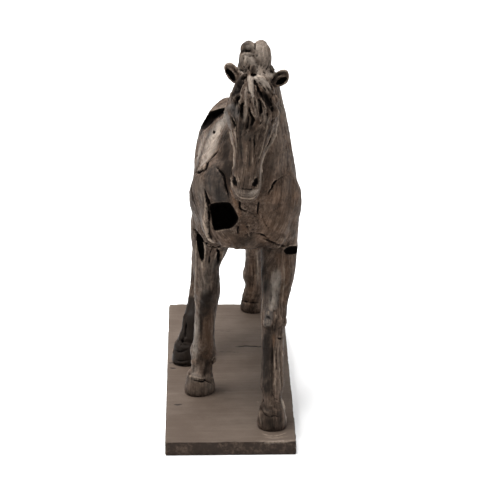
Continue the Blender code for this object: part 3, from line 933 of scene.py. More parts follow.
# The mane lies on the right of the neck. Its locks run between these four, from the crest down.
MANE_BED = [
    (33, -104, 490, 9, 12, 0),
    (22, -84, 470, 9, 20, 0),
    (18, -66, 438, 9, 25, 0),
    (6, -54, 402, 10, 24, 0),
    (2, -40, 372, 9, 16, 0),
    (4, -26, 356, 6, 9, 0),
]
MANE = np.array(
    [
        [(36, -98, 494), (24, -92, 474), (15, -104, 452), (11, -114, 440)],
        [(34, -62, 466), (20, -64, 438), (9, -80, 412), (4, -92, 402)],
        [(27, -40, 428), (10, -46, 406), (-3, -62, 384), (-6, -72, 376)],
        [(20, -28, 392), (4, -30, 380), (-6, -42, 366), (-9, -50, 360)],
        [(14, -16, 374), (2, -16, 366), (-6, -24, 358), (-8, -30, 354)],
    ],
    float,
)
MANE_LOCKS = 19


def onto(tree, points):
    """The places of a surface that are nearest to points of the figure."""
    return to_figure([tree.find_nearest(Vector(point))[0] for point in to_world(points)])


def mane_lock(k):
    """Lock k: the bed's lines mixed at its share of the way down the crest, laid on the neck."""
    at = k / (MANE_LOCKS - 1) * (len(MANE) - 1)
    row = min(int(at), len(MANE) - 2)
    line = MANE[row] + (MANE[row + 1] - MANE[row]) * (at - row)
    line[-1] += (0, -5 * math.sin(2.3 * k), 8 * math.sin(1.7 * k))
    path = along(line, 6)
    t = np.linspace(0, 1, len(path))[:, None]
    seat = onto(flesh_tree, path)
    away = (path - seat) / np.maximum(np.linalg.norm(path - seat, axis=1), 0.1)[:, None]
    lift = 3.5 + 2.0 * math.sin(3.1 * k)
    width = 4.6 * np.sin(math.pi * (0.25 + 0.7 * t))
    return np.hstack([seat + away * lift, width, width * 0.9, 0 * t])


TAIL = [
    (9, 204, 336, 13, 15, 0),
    (9, 222, 330, 14, 16, 0),
    (9, 234, 310, 15, 16, 0),
    (9, 240, 282, 16, 15, 0),
    (8, 244, 245, 16, 14, 0),
    (7, 245, 200, 16, 13, 0),
    (6, 245, 160, 12, 11, 0),
    (5, 245, 130, 6, 6, 0),
]
TAIL_LOCKS = 11


def tail_lock(k):
    """Lock k winds a little round the tail's own line, at 0.7 of its width, and thins to its tip."""
    rows = along(TAIL, 6)
    t = np.linspace(0, 1, len(rows))
    turn = 2 * math.pi * k / TAIL_LOCKS + 0.9 * t + 0.25 * np.sin(5 * t + k)
    line = rows[:, :3] + np.stack(
        [0.72 * rows[:, 3] * np.cos(turn), 0.66 * rows[:, 4] * np.sin(turn), 0 * t], axis=1
    )
    width = (4.6 + 0.7 * math.sin(2.1 * k)) * np.sqrt(np.clip(1.02 - t, 0.02, 1))
    stations = np.stack([*line.T, width, width * 0.9, 0 * t], axis=1)
    return tube(stations[: len(rows) - (k * 5) % 4], 16, 2.5)


parts = [shells_of(flesh)]
parts += [hoof(*place) for place in HOOVES]
parts += [ear(*place) for place in EARS]
parts += [knob(*place) for place in KNOBS]
parts += [lump(*knot) for knot in TOPKNOT]
forelock = [on_face(lock) for lock in FORELOCK]
mane = [mane_lock(k) for k in range(MANE_LOCKS)]
parts += [tube(lock, 16, 1.5) for lock in forelock]
parts += [tube(lock, 16, 2.0) for lock in mane]
parts += [tube(MANE_BED, 24), tube(TAIL, 24)]
parts += [tail_lock(k) for k in range(TAIL_LOCKS)]
skin = voxel_skin(link("skin", pile("skin", parts)), SKIN_VOXEL, SKIN_EASING)

# Edges of the pieces of wood, cracks and the features of the face, traced in the photograph:
# how far each reaches and how high it stands, in millimetres, then its points.
TRACED = [
    # the right shoulder's plates and the crack between them
    (2.6, -3.8, [(219, 150), (213, 156), (207, 163), (205, 169), (199, 171), (194, 172.5), (191, 177)]),
    (2.0, -3.4, [(196, 173.6), (192.8, 178), (191.2, 186), (191.8, 194), (194.6, 203)]),
    (12, 2.2, [(214, 149), (203, 158), (197, 166)]),
    (1.9, -2.4, [(216, 166.5), (220, 171), (223.5, 176), (226, 188.5), (229, 199.5)]),
    (2.4, -4.6, [(203.7, 188.5), (206, 195), (208.5, 202), (209.4, 207), (208, 214), (208, 231)]),
    (1.8, 1.7, [(205.6, 198), (206.2, 207), (205.4, 216), (205.6, 226), (207.4, 234)]),
    (8, 2.0, [(199, 190), (203, 200), (203.5, 214), (203, 228)]),
    (3.0, 2.4, [(204, 218), (206, 228), (209, 238), (214, 243)]),
    (2.6, -3.0, [(193, 229), (198, 233.5), (203, 240), (208, 246), (215, 247)]),
    # the breast
    (2.0, -3.4, [(236, 198), (239, 201), (239.5, 206), (240.5, 209), (243.5, 210.5), (248, 211.5)]),
    (2.0, -3.2, [(259.5, 201), (258.6, 206), (257.4, 214)]),
    (2.0, -2.8, [(238.3, 226), (237.6, 230), (238, 234)]),
    (4.0, 1.9, [(226.8, 180), (231, 190), (235, 203), (239.8, 216.4)]),
    (2.2, -1.8, [(243, 236), (252, 233), (262, 235), (270, 240)]),
    (2.0, -1.5, [(250, 217), (247, 224), (249, 231)]),
    (2.0, -1.5, [(262, 212), (264, 222), (270, 230)]),
    # the left shoulder: the crack under the neck and the overhanging plate's edge
    (1.8, -1.6, [(291.5, 154), (290, 164), (287.5, 171.5), (281, 176)]),
    (1.9, -5.0, [(277, 179.4), (274.2, 182), (272.4, 185), (271.4, 188.4), (269.8, 190.6), (268, 194.8)]),
    (12, 2.0, [(291, 178), (282, 184), (276, 192), (271, 204)]),
    (2.2, -1.2, [(262, 238), (269, 241), (278, 245), (287, 246)]),
    (10, 1.6, [(262, 229), (272, 234), (284, 238.5), (295, 235)]),
    # the head: eyes, the lines that border the face, nostrils, mouth and chin
    (4.2, -5.6, [(231.2, 117.4), (232.8, 120.8), (234.2, 125), (234.6, 128.6)]),
    (4.4, -5.4, [(275, 119.4), (273.2, 121.6), (271.6, 124)]),
    (3.2, -3.4, [(272.8, 126), (270.8, 131), (269, 136)]),
    (1.8, 1.6, [(276, 122.6), (273, 124.8)]),
    (1.6, 2.0, [(229.4, 127), (230.2, 134), (231.8, 140), (233.8, 146), (234.8, 153), (234.6, 160),
        (233.8, 166)]),
    (1.9, 2.2, [(234, 164), (232.2, 172), (231.2, 177), (231.8, 183), (233.8, 189.4)]),
    (1.7, 2.0, [(232, 115.6), (234.4, 121.5), (235.4, 129), (236.2, 137), (237, 145), (237, 152.6)]),
    (1.5, 1.0, [(231.6, 128.5), (232.6, 134), (234.2, 141)]),
    (1.8, -2.0, [(232.4, 131), (233.8, 138), (235.2, 146)]),
    (2.1, 1.9, [(278.6, 114), (278, 121), (277, 128), (275.4, 134.6), (272.6, 141.6), (268.4, 147.6)]),
    (2.5, 1.9, [(270, 145.6), (265.6, 152), (262.8, 159), (261.2, 166), (261.8, 173), (263, 180),
        (261.4, 187)]),
    (1.8, 2.0, [(269, 118.6), (267, 126), (265.8, 133), (264.4, 140), (262.2, 147), (260.6, 153),
        (258.8, 160)]),
    (1.6, 1.8, [(273, 127.6), (270.8, 134), (268.6, 140), (265.6, 146), (262.8, 152)]),
    (1.8, -2.0, [(272, 137), (268.4, 143.6), (264.4, 149.4)]),
    (1.8, -2.2, [(262.4, 149.6), (260.4, 156.6), (259, 163)]),
    (1.8, -2.0, [(266.6, 130), (265, 138), (263, 145)]),
    (2.6, -1.7, [(241.2, 136), (241, 148), (241.4, 160), (242.6, 172)]),
    (2.4, -1.7, [(249.6, 136), (250.2, 148), (249.6, 160), (248.8, 171)]),
    (1.7, -1.3, [(254.6, 133), (254.8, 144), (254, 153)]),
    (3.0, -1.4, [(238.8, 150), (238, 160), (237, 171)]),
    (1.8, 0.9, [(246.6, 142), (246.8, 153), (246.2, 163), (245.2, 175)]),
    (1.6, 0.8, [(257.2, 130.6), (257.6, 141)]),
    (1.6, 0.8, [(252.8, 156.6), (253.2, 164.4)]),
    (5.0, -7.0, [(232.2, 175.6), (233.8, 180.4), (236.6, 186)]),
    (5.4, -7.0, [(258.2, 178), (256.8, 182.4), (253.6, 187)]),
    (1.6, 1.2, [(236.8, 175.4), (238.6, 179), (239, 183)]),
    (1.6, 1.0, [(256.6, 177), (253, 180.6), (251.8, 184.6)]),
    (1.8, -1.7, [(237.6, 187.4), (244, 189.4), (251, 189.6), (256.6, 187.8)]),
    (1.8, 2.0, [(233.6, 189.4), (237, 194.4), (241.6, 197.4), (248, 198.2), (253.4, 197.4),
        (257.6, 193.4)]),
    (1.5, -1.2, [(240, 193.6), (246, 195), (252, 194.4)]),
    # the gaps between the locks of the forelock, and the strands that stand beside them
    (6.4, -4.6, [(243.2, 79.4), (240.6, 84), (238.2, 89), (236.6, 93.6)]),
    (4.0, -3.8, [(238.8, 95.6), (238.4, 99.4), (237.4, 103.6)]),
    (3.6, -4.0, [(243.8, 101.6), (242.8, 108), (242, 114), (242.2, 121)]),
    (1.8, -1.6, [(241.6, 121), (241, 127), (240.8, 134)]),
    (1.9, -2.6, [(248.4, 105.6), (250, 111.6), (252.6, 117.4), (255.2, 122)]),
    (4.0, -3.0, [(251.6, 116.6), (252.2, 121.6), (251, 127)]),
    (2.8, -3.8, [(258.6, 98.6), (260.4, 104), (261.2, 110), (260.6, 115.6)]),
    (2.2, -3.2, [(255, 80), (256.6, 86), (259.6, 92), (263, 97.4)]),
    (6.8, -4.8, [(264.4, 93.6), (267, 99), (269.8, 105), (271.8, 109.4)]),
    (4.0, -3.4, [(271.6, 84.6), (273.4, 88.6)]),
    (1.8, -1.8, [(269.6, 85.4), (271.6, 90.6), (274, 96)]),
    (1.8, -2.0, [(246.2, 79.6), (247.8, 88), (250, 94.6)]),
    (1.8, -2.0, [(254.4, 80), (254.8, 88), (254.6, 95)]),
    (1.6, -0.9, [(244.8, 85), (244.2, 92), (244.8, 98)]),
    (1.6, -1.0, [(254.6, 100), (255.2, 106), (255.6, 112)]),
    (1.6, -1.0, [(251.4, 100), (252, 107), (254.4, 113)]),
    (1.6, -0.9, [(248, 92), (247.8, 99), (248.2, 104)]),
    (1.6, -1.4, [(239.4, 103.6), (238.4, 110), (236.6, 116)]),
    (1.6, -1.8, [(258.6, 81.6), (262.6, 85), (266.8, 89.4)]),
    (1.5, -1.0, [(261.6, 78.2), (265.6, 80.8), (268.8, 84.4)]),
    (1.7, -2.2, [(259.6, 83.6), (263.4, 87.6), (267.4, 92.4)]),
    (1.8, -1.6, [(263.6, 114), (262, 121), (257.6, 127)]),
    (1.8, -1.4, [(267, 112), (267.4, 119), (264.4, 126)]),
    (3.0, -2.4, [(274.6, 92.4), (276.2, 98), (278.2, 103)]),
    (2.2, 1.2, [(249.2, 78.6), (251.2, 86), (252.2, 94)]),
    (1.6, 1.0, [(255, 97.6), (256.8, 103), (257.8, 110), (259.6, 117)]),
    (1.8, 0.7, [(257, 96.4), (261.6, 100.4), (264.2, 105.4), (265.8, 111), (265.2, 117), (261.8, 124),
        (256, 129.2)]),
    (1.5, 0.5, [(256, 129.2), (249, 133.6), (243, 138)]),
    (1.8, 1.6, [(270.6, 97), (273.6, 103), (277.2, 108.4), (279.2, 113.4)]),
    (1.7, 0.9, [(245.4, 98), (246.4, 107), (246.6, 114), (244.4, 122)]),
    (1.7, 0.8, [(250.4, 105), (252.6, 112), (256, 118)]),
    (1.7, 0.9, [(241.2, 95), (240.2, 102), (238.2, 109)]),
    (1.8, 1.4, [(257, 76.4), (262, 77.2), (267, 80), (270.6, 84)]),
    (1.6, 0.9, [(257.8, 79), (262.2, 81.6), (266.6, 85.2), (270, 89)]),
    (1.4, 0.8, [(259.4, 85), (263.6, 89.6), (268.8, 94.2), (273.8, 98.4)]),
    (1.4, 0.8, [(239.6, 88), (237, 94.4), (233, 98.6)]),
    (2.2, -1.6, [(239, 124), (240.4, 133), (240, 142)]),
    (1.4, -1.5, [(247.6, 112), (248.6, 120), (247, 129)]),
    (1.4, 0.9, [(249.4, 112), (250.4, 120), (248.6, 129), (245.6, 137)]),
    (1.4, 0.8, [(266.6, 118), (262.6, 124.6), (256, 130.4), (248.6, 134.6)]),
    (1.4, -1.4, [(265, 121), (260.6, 126.6), (253.6, 131.8)]),
    (1.4, 0.8, [(259.6, 117), (262, 123.6), (266, 129.6)]),
    (1.4, 0.8, [(244.6, 124), (243, 131), (239.4, 137.6)]),
    (1.5, -1.5, [(254, 137), (254.6, 146), (254.2, 156), (253.4, 166)]),
    (1.5, -1.4, [(246.8, 146), (247.4, 158), (246.6, 170)]),
    (1.5, -1.3, [(257.6, 143), (256.4, 153), (255.6, 163)]),
    (1.5, -1.4, [(241, 88), (239.4, 95), (236.6, 101)]),
    (1.5, -1.3, [(249.6, 98), (250, 106), (251.6, 112)]),
    (1.5, -1.3, [(258, 88), (261.4, 96), (265, 104)]),
    # the topknot: the dark bulb over its slot, the ridge, the facets, the knot and the right lobe
    (1.8, -1.8, [(254.8, 41), (255.2, 45), (255.6, 49.6)]),
    (2.6, -3.6, [(244.6, 51), (247.6, 51.4), (250.6, 51)]),
    (3.4, -1.6, [(240.6, 51.6), (243.6, 51.8)]),
    (1.7, 1.4, [(241, 55), (246.6, 53.2), (254.2, 54.4)]),
    (1.7, -1.3, [(246, 55.8), (250.4, 56.2), (254.4, 55.8)]),
    (3.4, -1.8, [(242.6, 56.4), (243.4, 60.4)]),
    (1.6, -1.2, [(245.2, 57), (247.4, 61), (249, 65)]),
    (1.6, 0.9, [(247, 57), (250.6, 60), (253.4, 64)]),
    (1.8, -1.7, [(242.4, 66), (245.2, 68.4)]),
    (1.6, 0.9, [(254.4, 50), (254.8, 54), (255, 60)]),
    (2.0, -1.8, [(256.8, 54.6), (257, 57.6)]),
    (1.9, -2.4, [(249.6, 65), (249, 69), (250.4, 73)]),
    (2.4, -4.0, [(250.8, 75), (254, 75.6), (257, 74.4)]),
    (3.2, -3.8, [(245.2, 73), (246.8, 76)]),
    (1.8, -1.8, [(256.6, 65), (257.4, 69), (256.8, 73)]),
    (2.2, -2.2, [(262.4, 71.4), (266.4, 73)]),
    (1.6, -1.0, [(258.6, 43), (257.8, 51), (259, 60), (258.6, 68)]),
    (1.6, -1.0, [(261.4, 43.4), (262, 53), (261.6, 63), (259.4, 71)]),
    (1.6, -1.0, [(264.4, 44.4), (265.6, 54), (264.8, 64), (261, 73)]),
    (1.6, -1.0, [(267.5, 47.5), (269, 56), (268, 66), (263.6, 74)]),
    (1.4, 0.5, [(259.8, 43), (259.8, 52), (260.6, 62), (259, 70)]),
    (1.4, 0.5, [(263, 44), (263.8, 54), (263.2, 64), (260.2, 72)]),
    (1.4, 0.5, [(266, 46), (267.4, 55), (266.6, 65), (262.4, 74)]),
    (1.6, -1.4, [(257.8, 72.6), (262, 75), (268, 75.8)]),
    (2.6, 1.8, [(257.4, 41.4), (259.4, 41.2)]),
    # the ears' rims and folds
    (1.6, 1.4, [(240.6, 78), (239.4, 72.6), (235.6, 67), (230.4, 63.4), (226.4, 64.6)]),
    (1.6, -1.4, [(238.2, 78), (236.4, 72.4), (232.6, 68), (228.6, 66.4)]),
    (1.5, 1.2, [(236.6, 79), (234.6, 73.6), (230.6, 69), (227.4, 68)]),
    (1.6, 1.4, [(272, 76.4), (278, 72.2), (284, 70.6), (287.6, 73), (288.4, 78), (286.4, 82.8)]),
    (1.6, -1.6, [(273, 79.4), (278.4, 75), (284.4, 73.2)]),
    (1.5, 1.2, [(274.6, 80.6), (279.6, 76.6), (285.4, 75.8)]),
    (2.0, -2.2, [(270.4, 80), (272.6, 84), (275.4, 87)]),
    # the right foreleg: strands beside the slots, the knee, the cannon, the coronet
    (1.9, 1.1, [(196.4, 238), (196.1, 250), (195.8, 262), (195.6, 275), (195, 288), (194.2, 297),
        (195.4, 303), (199, 313)]),
    (2.4, 1.4, [(205.2, 241), (205.2, 252), (204.8, 262)]),
    (1.6, 1.8, [(201.6, 257), (202.2, 263), (203, 269)]),
    (2.1, 1.5, [(224, 246.6), (219.5, 247.5), (215.8, 254), (213.6, 262), (212.4, 271)]),
    (2.1, 1.2, [(223.4, 249), (221.8, 258), (219.6, 268)]),
    (1.9, -3.0, [(209.8, 256), (209.2, 264)]),
    (2.2, -2.6, [(211.8, 248), (210.6, 254)]),
    (2.6, -3.2, [(209, 246.5), (214, 247.5), (219, 247), (224, 244.5)]),
    (2.6, -1.4, [(198, 270), (197.6, 283), (197.4, 294)]),
    (3.2, -1.6, [(209.2, 278), (209.8, 286), (210.8, 293)]),
    (3.6, -1.6, [(201.6, 314), (201.6, 328), (201.2, 342)]),
    (4.5, 1.0, [(196, 316), (196, 330), (194.6, 344), (194, 357)]),
    (4.5, 0.8, [(208, 318), (209, 334), (208.6, 350)]),
    (2.0, -2.0, [(214.6, 357), (212.6, 364), (211.6, 370)]),
    (1.8, -3.0, [(188.6, 378.4), (195, 380.4), (201, 381.8), (206, 380.8), (212, 383.4)]),
    (2.6, 0.9, [(188, 376), (192.6, 376.6), (200, 379), (207, 378)]),
    (2.4, 1.8, [(210.6, 378.4), (215, 376.8)]),
    # the left foreleg
    (3.6, 1.0, [(276.6, 276), (275.2, 288), (274, 300), (273.6, 308)]),
    (3.2, -1.6, [(271.2, 278), (270.6, 292), (270.2, 306)]),
    (1.8, 1.3, [(264, 290), (262.8, 302), (262, 312)]),
    (3.6, -1.2, [(264.4, 262), (266, 274), (266.4, 286)]),
    (2.4, 1.0, [(284, 262), (284, 276), (283, 292), (281.6, 305)]),
    (2.2, -2.8, [(272.8, 310), (274.8, 311.6)]),
    (1.9, -1.8, [(285, 308), (284.8, 318), (283.8, 328)]),
    (3.2, -1.3, [(262.8, 318), (262.6, 323), (264.6, 328), (269, 329.6), (272.6, 326)]),
    (3.0, -1.0, [(265, 316.8), (269, 317.8), (272.4, 320.4)]),
    (1.6, 1.2, [(275.8, 314), (276.8, 318.6)]),
    (1.6, 1.2, [(280.6, 315), (281.6, 319.6)]),
    (2.0, -1.6, [(272.4, 312), (272.4, 322), (272.8, 331)]),
    (2.4, -2.8, [(276.6, 336.8), (280, 338.8), (283, 337.6)]),
    (1.7, -1.8, [(272.4, 335), (272.2, 350), (272.2, 370), (272.4, 395)]),
    (1.6, 0.8, [(274.6, 339), (274.3, 352), (274.5, 366), (275, 380), (275.6, 393)]),
    (1.6, -1.6, [(276.7, 345), (276.5, 360), (277, 374), (277.8, 389)]),
    (1.6, 0.8, [(279.2, 343), (278.2, 352), (278.6, 366), (279.8, 380), (280.6, 391)]),
    (1.6, -1.4, [(280.7, 346), (280.4, 360), (281.2, 375), (282, 390)]),
    (1.6, 0.9, [(282.8, 341), (282.2, 352), (282.4, 366), (283, 380), (283, 392), (282.4, 399)]),
    (2.4, -3.0, [(282.6, 348.6), (283.4, 350)]),
    (1.4, -1.0, [(264, 347.6), (268, 348.8), (272, 349.2)]),
    (2.0, -1.6, [(272.6, 394), (275, 398.6), (279, 399.6)]),
    (2.6, -2.6, [(260.6, 393.6), (262, 397.6), (262.8, 402)]),
    (2.6, 2.2, [(281.8, 399), (283.4, 405), (285.4, 411), (286.2, 418)]),
    (3.0, -1.9, [(259.6, 405.6), (261.6, 411), (264.8, 415.2), (269.4, 417.2)]),
    (1.9, -1.8, [(269.4, 417.2), (275, 416), (280.4, 417.4)]),
    (3.0, 0.8, [(262, 406), (265, 411.4), (269.6, 414)]),
    (3.4, -0.9, [(266, 417.6), (265.4, 424), (266, 430)]),
    (3.4, -0.5, [(277.4, 418), (277, 425), (276.6, 430)]),
    (2.4, 1.8, [(260, 411), (260.4, 418), (262, 425)]),
    # the hind legs
    (1.8, 0.7, [(184.8, 303), (183, 314), (182.6, 328)]),
    (3.0, -2.4, [(185.4, 318), (185.2, 330), (182.4, 340), (178.6, 350)]),
    (2.0, -2.4, [(174.6, 359.4), (181, 361), (189, 360)]),
    (3.0, 2.2, [(186, 313), (183.4, 318)]),
    (2.6, -2.6, [(187, 322), (185, 330), (186, 338)]),
    (2.4, 1.8, [(178.4, 338), (182, 343), (188, 344)]),
    (2.2, -2.2, [(175, 350), (180, 352), (187, 350)]),
    (2.2, 1.6, [(173.6, 346), (173, 353)]),
    (2.0, -2.6, [(176, 364), (182, 365.4), (188, 364)]),
    (2.0, 1.4, [(256.4, 252), (257.4, 266), (257.6, 282)]),
    (2.0, -2.0, [(253.2, 258), (253, 276), (252, 292)]),
    (2.0, -2.6, [(241.8, 301), (250, 303), (260, 302.4)]),
]
# The same on the sides, the back and the rear, which no photograph shows, as points of the figure.
# Seams that overlap as well, for the steps below, are named.
LEFT_NECK_SEAM = [(88, -66, 346), (82, -74, 372), (72, -92, 400), (60, -112, 430)]
LEFT_BELLY_SEAM = [(58, 74, 238), (66, 30, 246), (70, -20, 262)]
RIGHT_BELLY_SEAM = [(-42, -20, 262), (-42, 30, 248), (-40, 70, 240)]
RIGHT_LOIN_SEAM = [(-20, -10, 362), (-42, 0, 336), (-48, 14, 300), (-46, 14, 262), (-34, 6, 230)]
RIGHT_THIGH_SEAM = [(-22, 136, 352), (-42, 150, 330), (-46, 160, 296), (-44, 150, 250), (-38, 140, 216)]
LAID = [
    (12, -3.5, [(9, 228, 352), (9, 190, 364), (11, 120, 368)]),
    (24, -4.5, [(66, 104, 314), (64, 98, 266), (58, 108, 228)]),
    (24, -4.5, [(-46, 98, 314), (-48, 74, 266), (-46, 66, 230)]),
    (26, -4.0, [(88, -50, 344), (90, -46, 290), (86, -54, 240)]),
    (26, -4.0, [(-46, -44, 344), (-50, -40, 290), (-46, -46, 240)]),
    (3.4, -3.6, [(66, -66, 362), (86, -58, 330), (92, -62, 290), (88, -74, 256), (80, -88, 234)]),
    (3.0, -3.0, [(50, -14, 366), (74, -2, 338), (80, 14, 300), (76, 12, 262), (62, 4, 232)]),
    (3.0, -2.6, [(80, -30, 316), (82, -2, 312), (80, 22, 302)]),
    (2.6, -2.4, [(74, 56, 300), (70, 84, 296), (64, 110, 284)]),
    (3.2, -3.2, [(34, 88, 362), (56, 98, 338), (64, 112, 300), (60, 128, 256), (52, 140, 226)]),
    (2.8, -2.6, [(36, 156, 352), (58, 164, 320), (64, 172, 284), (56, 186, 244)]),
    (2.6, -2.4, LEFT_BELLY_SEAM[::-1]),
    (2.6, -2.2, [(48, -50, 384), (40, -10, 380), (32, 40, 374)]),
    (3.4, -3.6, [(-30, -64, 356), (-44, -56, 330), (-50, -58, 290), (-48, -66, 252), (-44, -78, 232)]),
    (3.0, -3.0, RIGHT_LOIN_SEAM),
    (3.0, -2.6, [(-46, -30, 300), (-48, -4, 306), (-48, 20, 308)]),
    (2.6, -2.4, [(-48, 64, 304), (-46, 90, 296), (-46, 112, 282)]),
    (3.2, -3.2, RIGHT_THIGH_SEAM),
    (2.6, -2.4, RIGHT_BELLY_SEAM),
    (2.6, -2.4, LEFT_NECK_SEAM[::-1]),
    (2.6, -2.2, [(64, -70, 420), (74, -58, 392), (80, -50, 366)]),
    (2.6, -2.2, [(36, 214, 316), (40, 210, 280), (44, 206, 244)]),
    (2.6, -2.2, [(-14, 212, 312), (-18, 208, 278), (-20, 190, 240)]),
]

# Cuts from BROAD up, and ridges from NARROW up, are swells of the form, not lines of their own
BROAD = 9.0
NARROW = 3.5
PHOTO_STEP = 0.6
LAID_STEP = 1.5


def stroked(tree, traced, laid):
    """Strokes of the photograph and strokes of the figure, with their paths carried onto a skin."""
    paths = []
    for reach, height, points in traced:
        paths.append((reach, height, to_figure(seen(tree, along(points, PHOTO_STEP)))))
    return paths + [(reach, height, onto(tree, along(points, LAID_STEP))) for reach, height, points in laid]


co = coordinates(skin)
strokes = stroked(surface(skin), TRACED, LAID)
cuts = [stroke for stroke in strokes if stroke[1] < 0]
rises = [stroke for stroke in strokes if stroke[1] > 0]
cut = groove(co, [stroke for stroke in cuts if stroke[0] < BROAD])
rise = groove(co, [stroke for stroke in rises if stroke[0] < NARROW])
broad = groove(co, [stroke for stroke in cuts if stroke[0] >= BROAD])
broad += groove(co, [stroke for stroke in rises if stroke[0] >= NARROW])
place_vertices(skin, co + normals(skin) * (cut + broad + rise)[:, None])

# Where two pieces of wood overlap, one stands over the other. Looking along a line from its first
# point, the piece on the left is the upper one.
STEPS = [
    (13, 2.6, [(191, 178), (196, 171.5), (205, 168.5), (207.5, 162), (213, 155.5), (220, 149.5)]),
    (9, 1.6, [(229, 199), (226, 188.5), (223, 177), (216, 167)]),
    (12, 2.4, [(215, 244), (208.6, 236), (208.4, 222), (208.2, 208), (203.6, 188)]),
    (12, 2.6, [(214, 247), (205, 243), (199, 236), (192, 229)]),
    (11, 1.7, [(268.6, 196), (273, 184), (279.6, 178), (288, 172), (291.5, 156)]),
    (12, 1.1, [(297, 243), (286, 246.6), (277, 245), (269, 240.6), (259, 236.6)]),
    (9, 2.0, [(206, 125.5), (214, 120), (222, 114.5), (229, 109)]),
    (5, 1.4, [(217, 376), (205, 380), (195, 379.4), (187, 376)]),
    (5, 1.2, [(263, 300), (252, 302.6), (241, 301)]),
]
LAID_STEPS = [
    (15, 2.8, [(80, -90, 232), (90, -74, 256), (93, -62, 290), (87, -58, 330), (66, -66, 362)]),
    (14, 2.6, [(60, 4, 230), (76, 12, 262), (81, 14, 300), (74, -2, 338), (50, -14, 366)]),
    (14, 2.8, [(50, 142, 224), (60, 128, 256), (65, 112, 300), (56, 98, 338), (34, 88, 362)]),
    (12, 2.2, LEFT_BELLY_SEAM),
    (15, 2.8, [(-30, -64, 356), (-44, -56, 330), (-50, -58, 290), (-48, -66, 252), (-44, -80, 230)]),
    (14, 2.6, RIGHT_LOIN_SEAM),
    (14, 2.8, RIGHT_THIGH_SEAM),
    (12, 2.2, RIGHT_BELLY_SEAM),
    (12, 2.2, LEFT_NECK_SEAM),
]


STEP_WANDER = 1.5
UPPER_SHARE = 0.45


def step(co, facing, paths):
    """How far overlapping pieces push the skin: height times (1 - d/r)^2, less and upwards on the
    path's left and downwards on its right. The side is the sign of (offset x heading) . normal."""
    push = np.zeros(len(co))
    for reach, height, path in paths:
        line = path + drift(path / 14, 15) * STEP_WANDER
        rows, away, nearest = near_path(co, line, reach)
        heading = np.gradient(line, axis=0)[nearest]
        side = (np.cross(co[rows] - line[nearest], heading) * facing[rows]).sum(axis=1)
        t = nearest / max(1, len(path) - 1)
        fade = np.clip(np.minimum(t, 1 - t) / 0.2, 0, 1) * np.clip(1 - away / reach, 0, 1) ** 2
        push[rows] += height * fade * np.where(side > 0, -1.0, UPPER_SHARE)
    return push


co = coordinates(skin)
facing = normals(skin)
terrace = step(co, facing, stroked(surface(skin), STEPS, LAID_STEPS))
place_vertices(skin, co + facing * terrace[:, None])

# The grain runs along each limb and fans over the breast. Each line has the widths of the form
# that it belongs to.
BREAST_LEFT = [
    (78, -128, 340, 34, 34, 0), (72, -140, 300, 34, 34, 0), (56, -146, 262, 34, 34, 0),
    (36, -146, 236, 34, 34, 0),
]
BREAST_RIGHT = [
    (-22, -120, 350, 30, 34, 0), (-24, -130, 310, 30, 34, 0), (-14, -140, 268, 30, 34, 0),
    (2, -144, 240, 30, 34, 0),
]
THIGH_LEFT = [
    (36, 120, 350, 34, 40, 0), (44, 140, 310, 40, 50, 0), (46, 160, 260, 34, 50, 0),
    (45, 180, 210, 26, 40, 0),
]
THIGH_RIGHT = [
    (-12, 118, 350, 34, 40, 0), (-20, 134, 310, 40, 50, 0), (-24, 130, 260, 34, 50, 0),
    (-30, 114, 206, 24, 40, 0),
]
head_line = np.array(HEAD, float)
head_line[:, :3] = placed(head_line[:, :3], head_place)
GRAIN_LINES = [TRUNK, NECK, *LEGS, head_line, BREAST_LEFT, BREAST_RIGHT, THIGH_LEFT, THIGH_RIGHT]
LIMB_LINES = (2, 3, 4, 5, 7, 8)
HAIR_FROM = len(GRAIN_LINES)
HAIR_REACH = 1.6
WIDENED = (1, 1, 1, HAIR_REACH, HAIR_REACH, 1)
HAIR_LINES = [np.array(line, float) * WIDENED for line in (*forelock, *mane, TAIL)]
GRAIN_STRETCH = 0.09
GRAIN_WARP = 7
HAIR_FINENESS = 1.9
# Strands and the noise that draws them: size in millimetres and the first seed, then their shares
STRANDS = ((7.5, 60), (3.6, 80), (1.9, 100))
STRAND_SHARES = (0.55, 0.3, 0.15)
FURROW_DEPTH = 1.1
PITTING = 0.45
# How sharply one line's grain gives way to the next one's, and the least weight that counts
GIVES_WAY = 7
LEAST_WEIGHT = 0.03
# The relief is calm up to FOOT, and full from FOOT_FULL above that
FOOT = 10
FOOT_FULL = 24


def grain_places(co, line):
    """A vertex's place in the grain of one line: its offset across and in front of the nearest point
    of the line, and its length along it, much drawn out. Also how far off it is in half widths."""
    rows = along(line, 5)
    length = np.r_[0, np.cumsum(np.linalg.norm(np.diff(rows[:, :3], axis=0), axis=1))]
    tangent = unit(np.gradient(rows[:, :3], axis=0))
    across, front = sides_of(tangent)
    girth = np.sqrt(rows[:, 3] * rows[:, 4])
    square = (co**2).sum(axis=1)[:, None] + (rows[:, :3] ** 2).sum(axis=1) - 2 * co @ rows[:, :3].T
    near = (square / girth**2).argmin(axis=1)
    offset = co - rows[near, :3]
    ahead = (offset * tangent[near]).sum(axis=1)
    u = (offset * across[near]).sum(axis=1)
    v = (offset * front[near]).sum(axis=1)
    away = np.sqrt(np.maximum(square[np.arange(len(co)), near], 0)) / girth[near]
    return np.stack([u, v, (length[near] + ahead) * GRAIN_STRETCH], axis=1), away


co = coordinates(skin)
warp = drift(co / 46, 51) * GRAIN_WARP
places, aways = zip(*(grain_places(co + warp, line) for line in GRAIN_LINES + HAIR_LINES))
weight = np.exp(-GIVES_WAY * (np.array(aways) - np.min(aways, axis=0)))
weight[weight < LEAST_WEIGHT] = 0
weight /= weight.sum(axis=0)
main = np.argmax(weight, axis=0)


